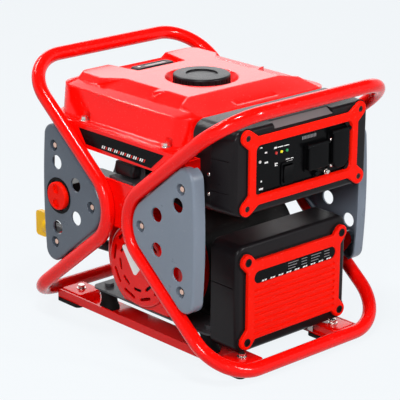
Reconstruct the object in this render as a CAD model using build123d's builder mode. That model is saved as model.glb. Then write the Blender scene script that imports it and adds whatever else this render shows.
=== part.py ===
from build123d import *
import os
from math import asin, cos, degrees, pi, radians, sin, tan

# Portable open-frame inverter generator.
# Millimetres. +Z is up, the control panel looks towards -Y and the recoil
# starter is on the -X side. The origin is on the floor under the middle.

os.makedirs("parts", exist_ok=True)

# ---------------------------------------------------------------- driving sizes
# Bent steel tube frame
tube_radius = 11.0
tube_wall = 1.6
half_width = 181.5            # tube centre line, left and right
loop_reach = 232.0            # tube centre line of the cross tubes, front and rear
top_height = 413.0            # centre line of the top cross tubes
bottom_height = 16.0          # centre line of the bottom cross tubes
waist_height = (top_height + bottom_height) / 2
waist_overshoot = 14.0        # where the straight arms would cross past the middle
corner_bend_radius = 76.0
waist_bend_radius = 64.0
tube_inner_face = half_width - tube_radius
arm_angle = degrees(asin((top_height - waist_height)
                         / ((loop_reach + waist_overshoot) ** 2
                            + (top_height - waist_height) ** 2) ** 0.5))
waist_apex = waist_bend_radius * (1 / sin(radians(arm_angle)) - 1) - waist_overshoot
weld_plate = 3.0              # thickness of the plates welded to the tubes

# Base
rail_plate = 2.5
rail_underside = 5.0
rail_inner = 72.0
rail_outer = 128.0
rail_lip_top = 19.0
rail_end = 228.0
rail_relief_x = 104.0
rail_relief_y = 217.5
pad_centre_y = 191.0
pad_length = 50.0
pad_width = 46.0
pad_top = 20.0
rail_centre = (rail_inner + rail_outer) / 2
foot_width = 62.0
foot_length = 56.0
mount_y = 119.0
mount_radius = 17.0
cradle_underside = 42.0
cradle_plate = 3.0
cradle_top = cradle_underside + cradle_plate
cradle_half_x = 120.0
cradle_half_y = 140.0

# Fasteners
bolt_radius = 3.0
bolt_hole = 3.3
bolt_head_radius = 5.0
bolt_head = 4.0

# Grey side panels
panel_face = 187.0
panel_wall = 3.0
panel_depth = 15.0
panel_rim_depth = 22.0
panel_tube_gap = 2.5
panel_corner_radius = 20.0
panel_corner_y = 153.0
panel_corner_rise = 93.0
panel_bulge_y = 177.0
panel_bolt_y = 147.5
panel_bolt_rise = 80.0
panel_apex_bolt_y = 58.0
cup_radius = 9.0
cup_wall = 2.5
vent_radius = 11.5

# Fuel tank
tank_front = -124.0
tank_foot_half_x = 156.0
tank_foot_rear = 186.0
tank_crease_half_x = 151.0
tank_crease_rear = 182.0
tank_lip_half_x = 128.0
tank_lip_rear = 172.0
tank_top_half_x = 122.0
tank_top_rear = 163.0
tank_corner_radius = 40.0
tank_flange = 11.0
tank_sheet = 2.0
tank_seam = 338.0
tank_crease = 385.0
tank_lip = 389.5
tank_top = 400.0
tank_floor = 306.0
cap_y = 10.0
cap_radius = 45.0
cap_top = 406.0
dish_floor = 387.0
dish_radius = 58.0
neck_radius = 32.0
neck_top = 399.0

# Engine
crank_height = 124.0
shaft_radius = 12.5
shaft_fit = 0.05
crankcase_left = -76.0
crankcase_right = 40.0
crankcase_half_y = 72.0
crankcase_top = 176.0
crankcase_wall = 7.0
cylinder_x = -18.0
cylinder_tilt = 25.0
deck_distance = 86.0
blower_front = -128.0
blower_radius = 92.0
sheet = 2.5
recoil_front = -143.0
recoil_radius = 68.0
pulley_radius = 44.0
alternator_end = 132.0
alternator_radius = 76.0

# Control housing and inverter box
housing_half_x = 139.0
housing_bottom = 254.0
housing_top = 384.0
shell_half_x = 147.0
shell_bottom = 252.0
shell_top = 388.0
housing_front = -212.0
housing_split = -168.0
housing_back = -128.0
housing_wall = 3.5
bezel_middle = 320.0
bezel_half_x = 115.0
bezel_half_z = 52.0
bezel_band = 15.0
bezel_depth = 5.0
bezel_ear_x = 119.0
bezel_ear_z = 53.5
ear_radius = 12.0
box_half_x = 118.0
box_bottom = 28.0
box_top = 200.0
box_front = -196.0
box_back = -140.0
box_wall = 5.0
cover_depth = 7.0
cover_middle = 111.0
cover_half_x = 100.0
cover_half_z = 63.0
cover_ear_x = 101.0
cover_ear_z = 64.0
panel_plane = housing_front + housing_wall      # the black panel's face


def save(builder, name):
    """Names the finished piece and writes it."""
    builder.part.label = name
    export_step(builder.part, f"parts/{name}.step")


def draw_bent_path(corners, radii):
    """Draws straight runs joined by round bends, one radius for each inner corner."""
    run_start = Vector(*corners[0])
    for index, radius in enumerate(radii, start=1):
        corner = Vector(*corners[index])
        back = (Vector(*corners[index - 1]) - corner).normalized()
        ahead = (Vector(*corners[index + 1]) - corner).normalized()
        half_turn = radians(back.get_angle(ahead) / 2)
        setback = radius / tan(half_turn)
        bend_start = corner + back * setback
        bend_end = corner + ahead * setback
        bend_middle = corner + (back + ahead).normalized() * (radius / sin(half_turn) - radius)
        Line(run_start, bend_start)
        ThreePointArc(bend_start, bend_middle, bend_end)
        run_start = bend_end
    Line(run_start, Vector(*corners[-1]))


def arm_reach(height):
    """Gives how far a straight arm's centre line lies from the middle at this height."""
    spread = (loop_reach + waist_overshoot) / (top_height - waist_height)
    return abs(height - waist_height) * spread - waist_overshoot


# ---------------------------------------------------------------- frame loops
# One half of the front loop is bent from the middle of its top cross tube, round
# the shoulder, down to the waist and out again to the bottom cross tube.
with BuildPart() as front_frame_loop:
    with BuildLine() as half_loop_path:
        draw_bent_path(
            [
                (0, -loop_reach, top_height),
                (-half_width, -loop_reach, top_height),
                (-half_width, waist_overshoot, waist_height),
                (-half_width, -loop_reach, bottom_height),
                (0, -loop_reach, bottom_height),
            ],
            [corner_bend_radius, waist_bend_radius, corner_bend_radius],
        )
    with BuildSketch(Plane(origin=(0, -loop_reach, top_height), z_dir=(-1, 0, 0))):
        Circle(tube_radius)
        Circle(tube_radius - tube_wall, mode=Mode.SUBTRACT)
    sweep(path=half_loop_path.wires()[0])
    mirror(about=Plane.YZ)
save(front_frame_loop, "front_frame_loop")

with BuildPart() as rear_frame_loop:
    mirror(front_frame_loop.part, about=Plane.XZ)
save(rear_frame_loop, "rear_frame_loop")

# ---------------------------------------------------------------- gusset plates
# They lie against the inner side of the two waists and tie the loops together.
gusset_top = 264.0
gusset_bottom = 190.0
gusset_top_half = 46.0
gusset_bottom_half = 28.0
with BuildPart() as gusset_plates:
    for face in (-tube_inner_face, tube_inner_face - weld_plate):
        with BuildSketch(Plane.YZ.offset(face)):
            Polygon(
                (-gusset_top_half, gusset_top),
                (gusset_top_half, gusset_top),
                (waist_apex, waist_height),
                (gusset_bottom_half, gusset_bottom),
                (-gusset_bottom_half, gusset_bottom),
                (-waist_apex, waist_height),
                align=None,
            )
        extrude(amount=weld_plate)
save(gusset_plates, "gusset_plates")

# ---------------------------------------------------------------- tank rails
# An upright plate between the arms, folded inwards at the top under the tank's
# flange. Its lower edge frames the open triangle above the gusset.
rail_top = tank_seam - tank_sheet
side_rail_plate = 2.5
side_rail_bottom = 300.0
side_rail_edge = 2.5
side_rail_top_half = arm_reach(rail_top) - side_rail_edge
side_rail_bottom_half = arm_reach(side_rail_bottom) - side_rail_edge
side_rail_shelf = 26.0
side_rail_shelf_half = 126.0


tank_bolt_x = tank_foot_half_x + tank_flange / 2 - 1.5
tank_bolt_ys = (103.0, -86.0)
with BuildPart() as left_tank_rail:
    with BuildSketch(Plane.YZ.offset(-tube_inner_face)):
        Polygon(
            (-side_rail_top_half, rail_top),
            (side_rail_top_half, rail_top),
            (side_rail_bottom_half, side_rail_bottom),
            (-side_rail_bottom_half, side_rail_bottom),
            align=None,
        )
    extrude(amount=side_rail_plate)
    with BuildSketch(Plane.XY.offset(rail_top)):
        with Locations((-tube_inner_face + side_rail_shelf / 2, 0)):
            Rectangle(side_rail_shelf, 2 * side_rail_shelf_half)
    extrude(amount=-side_rail_plate)
    with Locations(*[(-tank_bolt_x, y, rail_top) for y in tank_bolt_ys]):
        Hole(bolt_hole, depth=side_rail_plate)
save(left_tank_rail, "left_tank_rail")

with BuildPart() as right_tank_rail:
    mirror(left_tank_rail.part, about=Plane.YZ)
save(right_tank_rail, "right_tank_rail")

# ---------------------------------------------------------------- base rails
# A shallow pressed rail on each side: a floor, an upstanding outer lip, and a
# raised pad near each end that takes the bolt of a rubber foot.
with BuildPart() as left_base_rail:
    with BuildSketch(Plane.XY.offset(rail_underside)):
        with Locations((-rail_centre, 0)):
            Rectangle(rail_outer - rail_inner, 2 * rail_end)
    extrude(amount=rail_plate)
    with BuildSketch(Plane.XY.offset(rail_underside)):
        with Locations((-rail_outer + rail_plate / 2, 0)):
            Rectangle(rail_plate, 2 * rail_end)
    extrude(amount=rail_lip_top - rail_underside)
    for pad_y in (-pad_centre_y, pad_centre_y):
        with BuildSketch(Plane.XY.offset(rail_underside)) as pad_outline:
            with Locations((-rail_centre, pad_y)):
                RectangleRounded(pad_width, pad_length, 6)
        extrude(amount=pad_top - rail_underside)
    pad_rims = left_base_rail.faces().filter_by(GeomType.PLANE).sort_by(Axis.Z)[-2:]
    fillet(pad_rims.edges(), 2)
    for pad_y in (-pad_centre_y, pad_centre_y):
        with BuildSketch(Plane.XY.offset(rail_underside)):
            with Locations((-rail_centre, pad_y)):
                RectangleRounded(pad_width - 2 * rail_plate, pad_length - 2 * rail_plate, 4)
        extrude(amount=pad_top - rail_underside - rail_plate, mode=Mode.SUBTRACT)
    with Locations(*[(-rail_centre, y, pad_top) for y in (-pad_centre_y, pad_centre_y)]):
        Hole(bolt_hole, depth=rail_plate)
    with BuildSketch(Plane.XY.offset(rail_underside)):
        for side in (-1, 1):
            with Locations((-(rail_relief_x + rail_outer) / 2, side * (rail_relief_y + rail_end) / 2)):
                Rectangle(rail_outer - rail_relief_x, rail_end - rail_relief_y)
    extrude(amount=pad_top, mode=Mode.SUBTRACT)
    for tube_y in (-loop_reach, loop_reach):
        with BuildSketch(Plane.YZ.offset(-rail_outer - 1)):
            with Locations((tube_y, bottom_height)):
                Circle(tube_radius)
        extrude(amount=rail_outer, mode=Mode.SUBTRACT)
save(left_base_rail, "left_base_rail")

with BuildPart() as right_base_rail:
    mirror(left_base_rail.part, about=Plane.YZ)
save(right_base_rail, "right_base_rail")

# ---------------------------------------------------------------- rubber feet
foot_points = [(x, y) for x in (-rail_centre, rail_centre) for y in (-pad_centre_y, pad_centre_y)]
foot_core_width = pad_width - 2 * rail_plate - 1
foot_core_length = pad_length - 2 * rail_plate - 1
with BuildPart() as rubber_feet:
    with BuildSketch(Plane.XY):
        with Locations(*foot_points):
            RectangleRounded(foot_width, foot_length, 8)
    extrude(amount=rail_underside)
    with BuildSketch(Plane.XY.offset(rail_underside)):
        with Locations(*foot_points):
            RectangleRounded(foot_core_width, foot_core_length, 3)
    extrude(amount=pad_top - rail_plate - rail_underside)
    with Locations(*[(x, y, pad_top - rail_plate) for x, y in foot_points]):
        Hole(bolt_hole, depth=pad_top - rail_plate - 3)
save(rubber_feet, "rubber_feet")

# ---------------------------------------------------------------- frame bolts
# Flanged hexagon bolts: four hold the feet, four hold the tank's flange.
flange_radius = 7.5
flange_height = 1.5
hexagon_radius = 5.8
hexagon_height = 5.0
foot_bolt_length = 14.0
tank_bolt_length = 10.0
tank_bolt_top = tank_seam + tank_sheet
bolt_stations = [((x, y, pad_top), foot_bolt_length) for x, y in foot_points]
bolt_stations += [((x, y, tank_bolt_top), tank_bolt_length)
                  for x in (-tank_bolt_x, tank_bolt_x) for y in tank_bolt_ys]
with BuildPart() as frame_bolts:
    for (x, y, z), length in bolt_stations:
        with BuildSketch(Plane.XY.offset(z)):
            with Locations((x, y)):
                Circle(flange_radius)
        extrude(amount=flange_height)
        with BuildSketch(Plane.XY.offset(z + flange_height)):
            with Locations((x, y)):
                RegularPolygon(hexagon_radius, 6)
        extrude(amount=hexagon_height)
        with BuildSketch(Plane.XY.offset(z)):
            with Locations((x, y)):
                Circle(bolt_radius)
        extrude(amount=-length)
save(frame_bolts, "frame_bolts")

# ---------------------------------------------------------------- vibration mounts
rail_floor_top = rail_underside + rail_plate
mount_points = [(x, y) for x in (-rail_centre, rail_centre) for y in (-mount_y, mount_y)]
mount_height = cradle_underside - rail_floor_top
mount_washer = 2.5
mount_waist_radius = 13.0
with BuildPart() as vibration_mounts:
    for x, y in mount_points:
        with BuildSketch(Plane.XZ.offset(-y)):
            with BuildLine():
                Polyline(
                    (x, rail_floor_top),
                    (x + mount_radius, rail_floor_top),
                    (x + mount_radius, rail_floor_top + mount_washer),
                )
                Spline(
                    (x + mount_radius, rail_floor_top + mount_washer),
                    (x + mount_waist_radius, rail_floor_top + mount_height / 2),
                    (x + mount_radius, cradle_underside - mount_washer),
                )
                Polyline(
                    (x + mount_radius, cradle_underside - mount_washer),
                    (x + mount_radius, cradle_underside),
                    (x, cradle_underside),
                    (x, rail_floor_top),
                )
            make_face()
        revolve(axis=Axis((x, y, 0), (0, 0, 1)))
save(vibration_mounts, "vibration_mounts")

# ---------------------------------------------------------------- engine cradle
cradle_fold = 12.0
cradle_nut_radius = 8.0
cradle_nut = 6.0
cradle_hole = 20.0
cradle_hole_y = 108.0
with BuildPart() as engine_cradle:
    with BuildSketch(Plane.XY.offset(cradle_underside)):
        RectangleRounded(2 * cradle_half_x, 2 * cradle_half_y, 12)
        with Locations((0, -cradle_hole_y), (0, cradle_hole_y)):
            Circle(cradle_hole, mode=Mode.SUBTRACT)
    extrude(amount=cradle_plate)
    with BuildSketch(Plane.XY.offset(cradle_top)):
        with Locations(*mount_points):
            RegularPolygon(cradle_nut_radius, 6)
    extrude(amount=cradle_nut)
    for side in (-1, 1):
        with BuildSketch(Plane.XY.offset(cradle_underside)):
            with Locations((0, side * (cradle_half_y - cradle_plate / 2))):
                Rectangle(2 * cradle_half_x - 90, cradle_plate)
        extrude(amount=-cradle_fold)
save(engine_cradle, "engine_cradle")

# ---------------------------------------------------------------- grey side panels
apex_circle_radius = waist_bend_radius - tube_radius - panel_tube_gap
apex_circle_y = waist_apex + waist_bend_radius
panel_bolts = [
    (panel_bolt_y, waist_height + panel_bolt_rise),
    (panel_apex_bolt_y, waist_height),
    (panel_bolt_y, waist_height - panel_bolt_rise),
]
outer_vent_y = 140.5
outer_vent_rise = 54.0
inner_vent_y = 94.5
inner_vent_rise = 27.5
panel_vents = [
    (outer_vent_y, waist_height + outer_vent_rise),
    (inner_vent_y, waist_height + inner_vent_rise),
    (inner_vent_y, waist_height - inner_vent_rise),
    (outer_vent_y, waist_height - outer_vent_rise),
]


def panel_outline(side, inset, depth):
    """Gives the rounded triangle of a side panel, its long edge bowed outwards."""
    corner_radius = panel_corner_radius - inset
    edge_y = side * (panel_corner_y + corner_radius)
    upper_z = waist_height + panel_corner_rise
    lower_z = waist_height - panel_corner_rise
    with BuildSketch(Plane.YZ.offset(-panel_face + depth)) as outline:
        with Locations((side * apex_circle_y, waist_height)):
            Circle(apex_circle_radius - inset)
        with Locations((side * panel_corner_y, upper_z), (side * panel_corner_y, lower_z)):
            Circle(corner_radius)
        with BuildLine():
            ThreePointArc(
                (edge_y, lower_z),
                (side * (panel_bulge_y - inset), waist_height),
                (edge_y, upper_z),
            )
        make_hull()
    return outline.sketch


def side_panel(side):
    """Builds a left-hand panel: a dished cover with bolt cups and round vents."""
    cup_spots = [(side * y, z) for y, z in panel_bolts]
    vent_spots = [(side * y, z) for y, z in panel_vents]
    with BuildPart() as panel:
        extrude(panel_outline(side, 0, 0), amount=panel_rim_depth)
        fillet(panel.faces().sort_by(Axis.X)[0].edges(), 5)
        extrude(panel_outline(side, panel_wall, panel_wall), amount=panel_rim_depth,
                mode=Mode.SUBTRACT)
        with BuildSketch(Plane.YZ.offset(-panel_face + panel_depth)):
            with Locations((side * panel_corner_y / 2, waist_height)):
                Rectangle(panel_corner_y + 12, 4 * panel_corner_rise)
        extrude(amount=panel_rim_depth, mode=Mode.SUBTRACT)
        with BuildSketch(Plane.YZ.offset(-panel_face + panel_wall)):
            with Locations(*cup_spots):
                Circle(cup_radius + cup_wall)
        extrude(amount=panel_face - panel_wall - tube_inner_face)
        with BuildSketch(Plane.YZ.offset(-panel_face)):
            with Locations(*cup_spots):
                Circle(cup_radius)
        extrude(amount=panel_face - tube_inner_face - cup_wall, mode=Mode.SUBTRACT)
        with BuildSketch(Plane.YZ.offset(-panel_face)):
            with Locations(*cup_spots):
                Circle(bolt_hole)
            with Locations(*vent_spots):
                Circle(vent_radius)
        extrude(amount=panel_rim_depth, mode=Mode.SUBTRACT)
    return panel.part


knob_y = 137.0
knob_window = 26.0
with BuildPart() as front_left_side_panel:
    add(side_panel(-1))
save(front_left_side_panel, "front_left_side_panel")

with BuildPart() as rear_left_side_panel:
    add(side_panel(1))
    with BuildSketch(Plane.YZ.offset(-panel_face)):
        with Locations((knob_y, waist_height)):
            Circle(knob_window)
    extrude(amount=panel_wall, mode=Mode.SUBTRACT)
save(rear_left_side_panel, "rear_left_side_panel")

with BuildPart() as front_right_side_panel:
    mirror(front_left_side_panel.part, about=Plane.YZ)
save(front_right_side_panel, "front_right_side_panel")

with BuildPart() as rear_right_side_panel:
    mirror(side_panel(1), about=Plane.YZ)
save(rear_right_side_panel, "rear_right_side_panel")

# ---------------------------------------------------------------- panel tabs
# Flat ears welded to the inner side of the arms; each takes one panel bolt. They end
# just short of the tube's centre line, where the tank rail and the gusset begin.
tab_radius = 13.0
tab_clearance = 0.5
apex_tab_clearance = 1.5
tab_reach = ((panel_bolt_y - arm_reach(waist_height + panel_bolt_rise)) * sin(radians(arm_angle))
             - tab_radius - tab_clearance)
with BuildPart() as panel_tabs:
    for face in (-tube_inner_face, tube_inner_face - weld_plate):
        for side in (-1, 1):
            for y, z in panel_bolts:
                if z == waist_height:
                    root = (waist_apex + tab_radius + apex_tab_clearance, z)
                else:
                    lean = 1 if z > waist_height else -1
                    root = (
                        y - tab_reach * sin(radians(arm_angle)),
                        z + lean * tab_reach * cos(radians(arm_angle)),
                    )
                with BuildSketch(Plane.YZ.offset(face)):
                    with Locations((side * y, z), (side * root[0], root[1])):
                        Circle(tab_radius)
                    make_hull()
                    with Locations((side * y, z)):
                        Circle(bolt_hole, mode=Mode.SUBTRACT)
                extrude(amount=weld_plate)
save(panel_tabs, "panel_tabs")

# ---------------------------------------------------------------- side panel bolts
cup_floor = tube_inner_face + cup_wall
socket_radius = 2.2
with BuildPart() as side_panel_bolts:
    for face, inward in ((-cup_floor, 1), (cup_floor, -1)):
        for side in (-1, 1):
            with BuildSketch(Plane.YZ.offset(face)):
                with Locations(*[(side * y, z) for y, z in panel_bolts]):
                    Circle(bolt_head_radius + 1)
                    RegularPolygon(socket_radius, 6, mode=Mode.SUBTRACT)
            extrude(amount=-inward * bolt_head)
            with BuildSketch(Plane.YZ.offset(face)):
                with Locations(*[(side * y, z) for y, z in panel_bolts]):
                    Circle(bolt_radius)
            extrude(amount=inward * (cup_wall + weld_plate + 2))
save(side_panel_bolts, "side_panel_bolts")

# ---------------------------------------------------------------- fuel tank
# Two pressed halves meet at a flange all round. The side walls lean in to a crease, a
# flat shoulder runs from the crease to a lip, and a raised top stands on the lip. The
# top is dished for the cap, notched at the rear for the gauge, scooped twice along
# each shoulder, and falls away to the front, with a deeper bay in the middle.
tank_wall = 2.0
top_corner = 16.0
lip_corner = 22.0
crease_corner = 34.0
scoop_inner = 96.0
scoop_edge = tank_lip_half_x + 1.0
rear_scoop_ys = (78.0, 0.0)
rear_scoop_flare = (36.0, 12.0)
front_scoop_ys = (-16.0, -62.0)
front_scoop_flare = (12.0, 20.0)
front_slope_start = -64.0
front_edge_height = 386.2
bay_half = 43.0
bay_start = -76.0
bay_end = -114.0
bay_floor = 386.6
scoop_headroom = 20.0
notch_front_y = 107.0
notch_front_half = 46.0
notch_rear_half = 62.0
notch_floor = 390.0
notch_draft = 20.0
dish_draft = 7.0
neck_wall = 5.0
flange_front = tank_front - 2.0
flange_rear = tank_foot_rear + 2.0
flange_half_x = tank_foot_half_x + tank_flange
flange_radius = tank_corner_radius + tank_flange - 4.0
hollow_top = tank_crease - 6.0
pan_inset = 14.0
pan_taper = 12.0
pan_bottom_fillet = 8.0
bolt_recess_radius = 9.0
bolt_recess_height = 12.0
tank_bolts = [(side * tank_bolt_x, y) for side in (-1, 1) for y in tank_bolt_ys]


def tank_section(height, half_x, front, rear, corner):
    """A rounded rectangle at one height of the tank."""
    with BuildSketch(Plane.XY.offset(height)) as section:
        with Locations((0, (front + rear) / 2)):
            RectangleRounded(2 * half_x, rear - front, corner)
    return section.sketch


def shoulder_scoop(ys, flare):
    """A wedge over the left shoulder, with a floor that falls from the top to the lip."""
    rear, front = ys
    with BuildPart() as scoop:
        with BuildSketch(Plane.XY.offset(tank_crease)):
            Polygon(
                (-scoop_inner, rear),
                (-scoop_edge, rear + flare[0]),
                (-scoop_edge, front - flare[1]),
                (-scoop_inner, front),
                align=None,
            )
        extrude(amount=tank_top - tank_crease + scoop_headroom)
        floor = Plane(
            origin=(-scoop_inner, 0, tank_top),
            x_dir=(0, 1, 0),
            z_dir=(tank_lip - tank_top, 0, tank_lip_half_x - scoop_inner),
        )
        split(bisect_by=floor, keep=Keep.TOP)
    return scoop.part


def falling_cut(half_x, start, start_height, end, end_height):
    """A wedge across the front whose floor falls from one height to another."""
    with BuildPart() as wedge:
        with BuildSketch(Plane.YZ.offset(-half_x)):
            Polygon(
                (start, start_height),
                (end, end_height),
                (end, tank_top + scoop_headroom),
                (start, tank_top + scoop_headroom),
                align=None,
            )
        extrude(amount=2 * half_x)
    return wedge.part


with BuildPart() as gauge_notch:
    with BuildSketch(Plane.XY.offset(notch_floor)):
        Polygon(
            (-notch_front_half, notch_front_y),
            (notch_front_half, notch_front_y),
            (notch_rear_half, tank_foot_rear),
            (-notch_rear_half, tank_foot_rear),
            align=None,
        )
    extrude(amount=scoop_headroom, taper=-notch_draft)

with BuildPart() as fuel_tank_upper:
    foot = tank_section(tank_seam, tank_foot_half_x, tank_front, tank_foot_rear,
                        tank_corner_radius)
    crease = tank_section(tank_crease, tank_crease_half_x, tank_front, tank_crease_rear,
                          crease_corner)
    lip = tank_section(tank_lip, tank_lip_half_x, tank_front, tank_lip_rear, lip_corner)
    summit = tank_section(tank_top, tank_top_half_x, tank_front, tank_top_rear, top_corner)
    loft([foot, crease], ruled=True)
    loft([crease, lip], ruled=True)
    loft([lip, summit], ruled=True)
    for scoop_ys, flare in ((rear_scoop_ys, rear_scoop_flare),
                            (front_scoop_ys, front_scoop_flare)):
        scoop = shoulder_scoop(scoop_ys, flare)
        add(scoop, mode=Mode.SUBTRACT)
        mirror(scoop, about=Plane.YZ, mode=Mode.SUBTRACT)
    add(
        falling_cut(flange_half_x, front_slope_start, tank_top, tank_front,
                    front_edge_height),
        mode=Mode.SUBTRACT,
    )
    add(falling_cut(bay_half, bay_start, tank_top, bay_end, bay_floor), mode=Mode.SUBTRACT)
    add(gauge_notch.part, mode=Mode.SUBTRACT)
    with BuildSketch(Plane.XY.offset(dish_floor)):
        with Locations((0, cap_y)):
            Circle(dish_radius - dish_draft)
    with BuildSketch(Plane.XY.offset(tank_top)):
        with Locations((0, cap_y)):
            Circle(dish_radius)
    loft(mode=Mode.SUBTRACT)
    with BuildSketch(Plane.XY.offset(tank_seam + tank_sheet)):
        with Locations(*tank_bolts):
            Circle(bolt_recess_radius)
    extrude(amount=bolt_recess_height, mode=Mode.SUBTRACT)
    extrude(
        tank_section(tank_seam, flange_half_x, flange_front, flange_rear, flange_radius),
        amount=tank_sheet,
    )
    extrude(
        tank_section(tank_seam, tank_crease_half_x - tank_wall, tank_front + tank_wall,
                     tank_crease_rear - tank_wall, crease_corner - tank_wall),
        amount=hollow_top - tank_seam, mode=Mode.SUBTRACT,
    )
    with BuildSketch(Plane.XY.offset(dish_floor)):
        with Locations((0, cap_y)):
            Circle(neck_radius)
    extrude(amount=neck_top - dish_floor)
    with BuildSketch(Plane.XY.offset(hollow_top - tank_wall)):
        with Locations((0, cap_y)):
            Circle(neck_radius - neck_wall)
    extrude(amount=neck_top, mode=Mode.SUBTRACT)
    with Locations(*[(x, y, tank_bolt_top) for x, y in tank_bolts]):
        Hole(bolt_hole, depth=tank_sheet)
save(fuel_tank_upper, "fuel_tank_upper")

with BuildPart() as fuel_tank_lower:
    extrude(
        tank_section(tank_seam, tank_foot_half_x - pan_inset, tank_front + pan_inset,
                     tank_foot_rear - pan_inset, tank_corner_radius),
        amount=tank_floor - tank_seam, taper=pan_taper,
    )
    fillet(fuel_tank_lower.faces().sort_by(Axis.Z)[0].edges(), pan_bottom_fillet)
    extrude(
        tank_section(tank_seam, flange_half_x, flange_front, flange_rear, flange_radius),
        amount=-tank_sheet,
    )
    extrude(
        tank_section(tank_seam, tank_foot_half_x - pan_inset - tank_wall,
                     tank_front + pan_inset + tank_wall, tank_foot_rear - pan_inset - tank_wall,
                     tank_corner_radius - tank_wall),
        amount=tank_floor - tank_seam + tank_wall, taper=pan_taper, mode=Mode.SUBTRACT,
    )
    with Locations(*[(x, y, tank_seam) for x, y in tank_bolts]):
        Hole(bolt_hole, depth=tank_sheet)
save(fuel_tank_lower, "fuel_tank_lower")

# A fine basket hangs in the filler neck by its rim.
strainer_radius = neck_radius - 6
strainer_depth = 34.0
strainer_wall = 1.2
with BuildPart() as fuel_strainer:
    with BuildSketch(Plane.XY.offset(neck_top)):
        with Locations((0, cap_y)):
            Circle(neck_radius - 1)
    extrude(amount=strainer_wall)
    with BuildSketch(Plane.XY.offset(neck_top)):
        with Locations((0, cap_y)):
            Circle(strainer_radius)
    extrude(amount=-strainer_depth)
    with BuildSketch(Plane.XY.offset(neck_top + strainer_wall)):
        with Locations((0, cap_y)):
            Circle(strainer_radius - strainer_wall)
    extrude(amount=-strainer_depth, mode=Mode.SUBTRACT)
    for level in range(3):
        slot_height = neck_top - 8 - 8 * level
        for angle in range(0, 180, 30):
            slot_plane = Plane(origin=(0, cap_y, slot_height), z_dir=(cos(radians(angle)),
                                                                    sin(radians(angle)), 0))
            with BuildSketch(slot_plane):
                Rectangle(4, 4)
            extrude(amount=strainer_radius + 1, both=True, mode=Mode.SUBTRACT)
save(fuel_strainer, "fuel_strainer")

cap_skirt_bottom = 389.0
cap_grips = 24
cap_lid = cap_top - neck_top - strainer_wall
with BuildPart() as fuel_cap:
    with BuildSketch(Plane.XY.offset(cap_skirt_bottom)):
        with Locations((0, cap_y)):
            Circle(cap_radius)
    extrude(amount=cap_top - cap_skirt_bottom)
    fillet(fuel_cap.faces().sort_by(Axis.Z)[-1].edges(), 3)
    with BuildSketch(Plane.XY.offset(cap_top)):
        with Locations((0, cap_y)):
            Circle(cap_radius - 20)
    extrude(amount=-2, mode=Mode.SUBTRACT)
    with BuildSketch(Plane.XY.offset(cap_skirt_bottom)):
        with Locations((0, cap_y)):
            Circle(cap_radius - 6)
    extrude(amount=neck_top + strainer_wall - cap_skirt_bottom, mode=Mode.SUBTRACT)
    with BuildSketch(Plane.XY.offset(cap_skirt_bottom)):
        with Locations((0, cap_y)):
            with PolarLocations(cap_radius + 2, cap_grips):
                Circle(3.2)
    extrude(amount=cap_top - cap_skirt_bottom - 4, mode=Mode.SUBTRACT)
save(fuel_cap, "fuel_cap")

gauge_y = 126.0
gauge_length = 78.0
gauge_width = 22.0
gauge_height = 8.0
gauge_corner = 5.0
gauge_edge = 2.0
gauge_window_x = 6.0
gauge_window_length = 46.0
gauge_window_width = 10.0
gauge_window_corner = 3.0
gauge_window_depth = 1.2
with BuildPart() as fuel_gauge:
    with BuildSketch(Plane.XY.offset(notch_floor)):
        with Locations((0, gauge_y)):
            RectangleRounded(gauge_length, gauge_width, gauge_corner)
    extrude(amount=gauge_height)
    chamfer(fuel_gauge.faces().sort_by(Axis.Z)[-1].edges(), gauge_edge)
    with BuildSketch(Plane.XY.offset(notch_floor + gauge_height)):
        with Locations((gauge_window_x, gauge_y)):
            RectangleRounded(gauge_window_length, gauge_window_width, gauge_window_corner)
    extrude(amount=-gauge_window_depth, mode=Mode.SUBTRACT)
save(fuel_gauge, "fuel_gauge")

# ---------------------------------------------------------------- control housing
housing_corner = 14.0
scoop_half = 62.0
scoop_depth_y = 16.0
scoop_depth_z = 9.0
panel_opening_half_x = 101.5
panel_opening_half_z = 38.5
side_seams = (289.0, 338.0)
seam_width = 1.6
seam_depth = 1.0
bezel_screws = [(x, bezel_middle + z) for x in (-bezel_ear_x, bezel_ear_x)
                for z in (-bezel_ear_z, bezel_ear_z)]
screw_reach = 10.0
housing_edge_fillet = 6.0
shell_corner = 22.0
scoop_back_rise = 2.0
seam_start = housing_front + 12.0


def housing_section(y, half_x, bottom, top, corner):
    """A rounded rectangle of the housing, square to Y."""
    with BuildSketch(Plane.XZ.offset(-y)) as section:
        with Locations((0, (bottom + top) / 2)):
            RectangleRounded(2 * half_x, top - bottom, corner)
    return section.sketch


def seam_groove(side, height):
    """A shallow groove that follows the spreading side wall."""
    with BuildSketch(Plane.XY.offset(height)) as groove:
        spread = (shell_half_x - housing_half_x) / (housing_split - housing_front)
        start_x = housing_half_x + spread * (seam_start - housing_front)
        Polygon(
            (side * (start_x - seam_depth), seam_start),
            (side * (start_x + seam_depth), seam_start),
            (side * (shell_half_x + seam_depth), housing_split),
            (side * (shell_half_x - seam_depth), housing_split),
            align=None,
        )
    return groove.sketch


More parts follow.
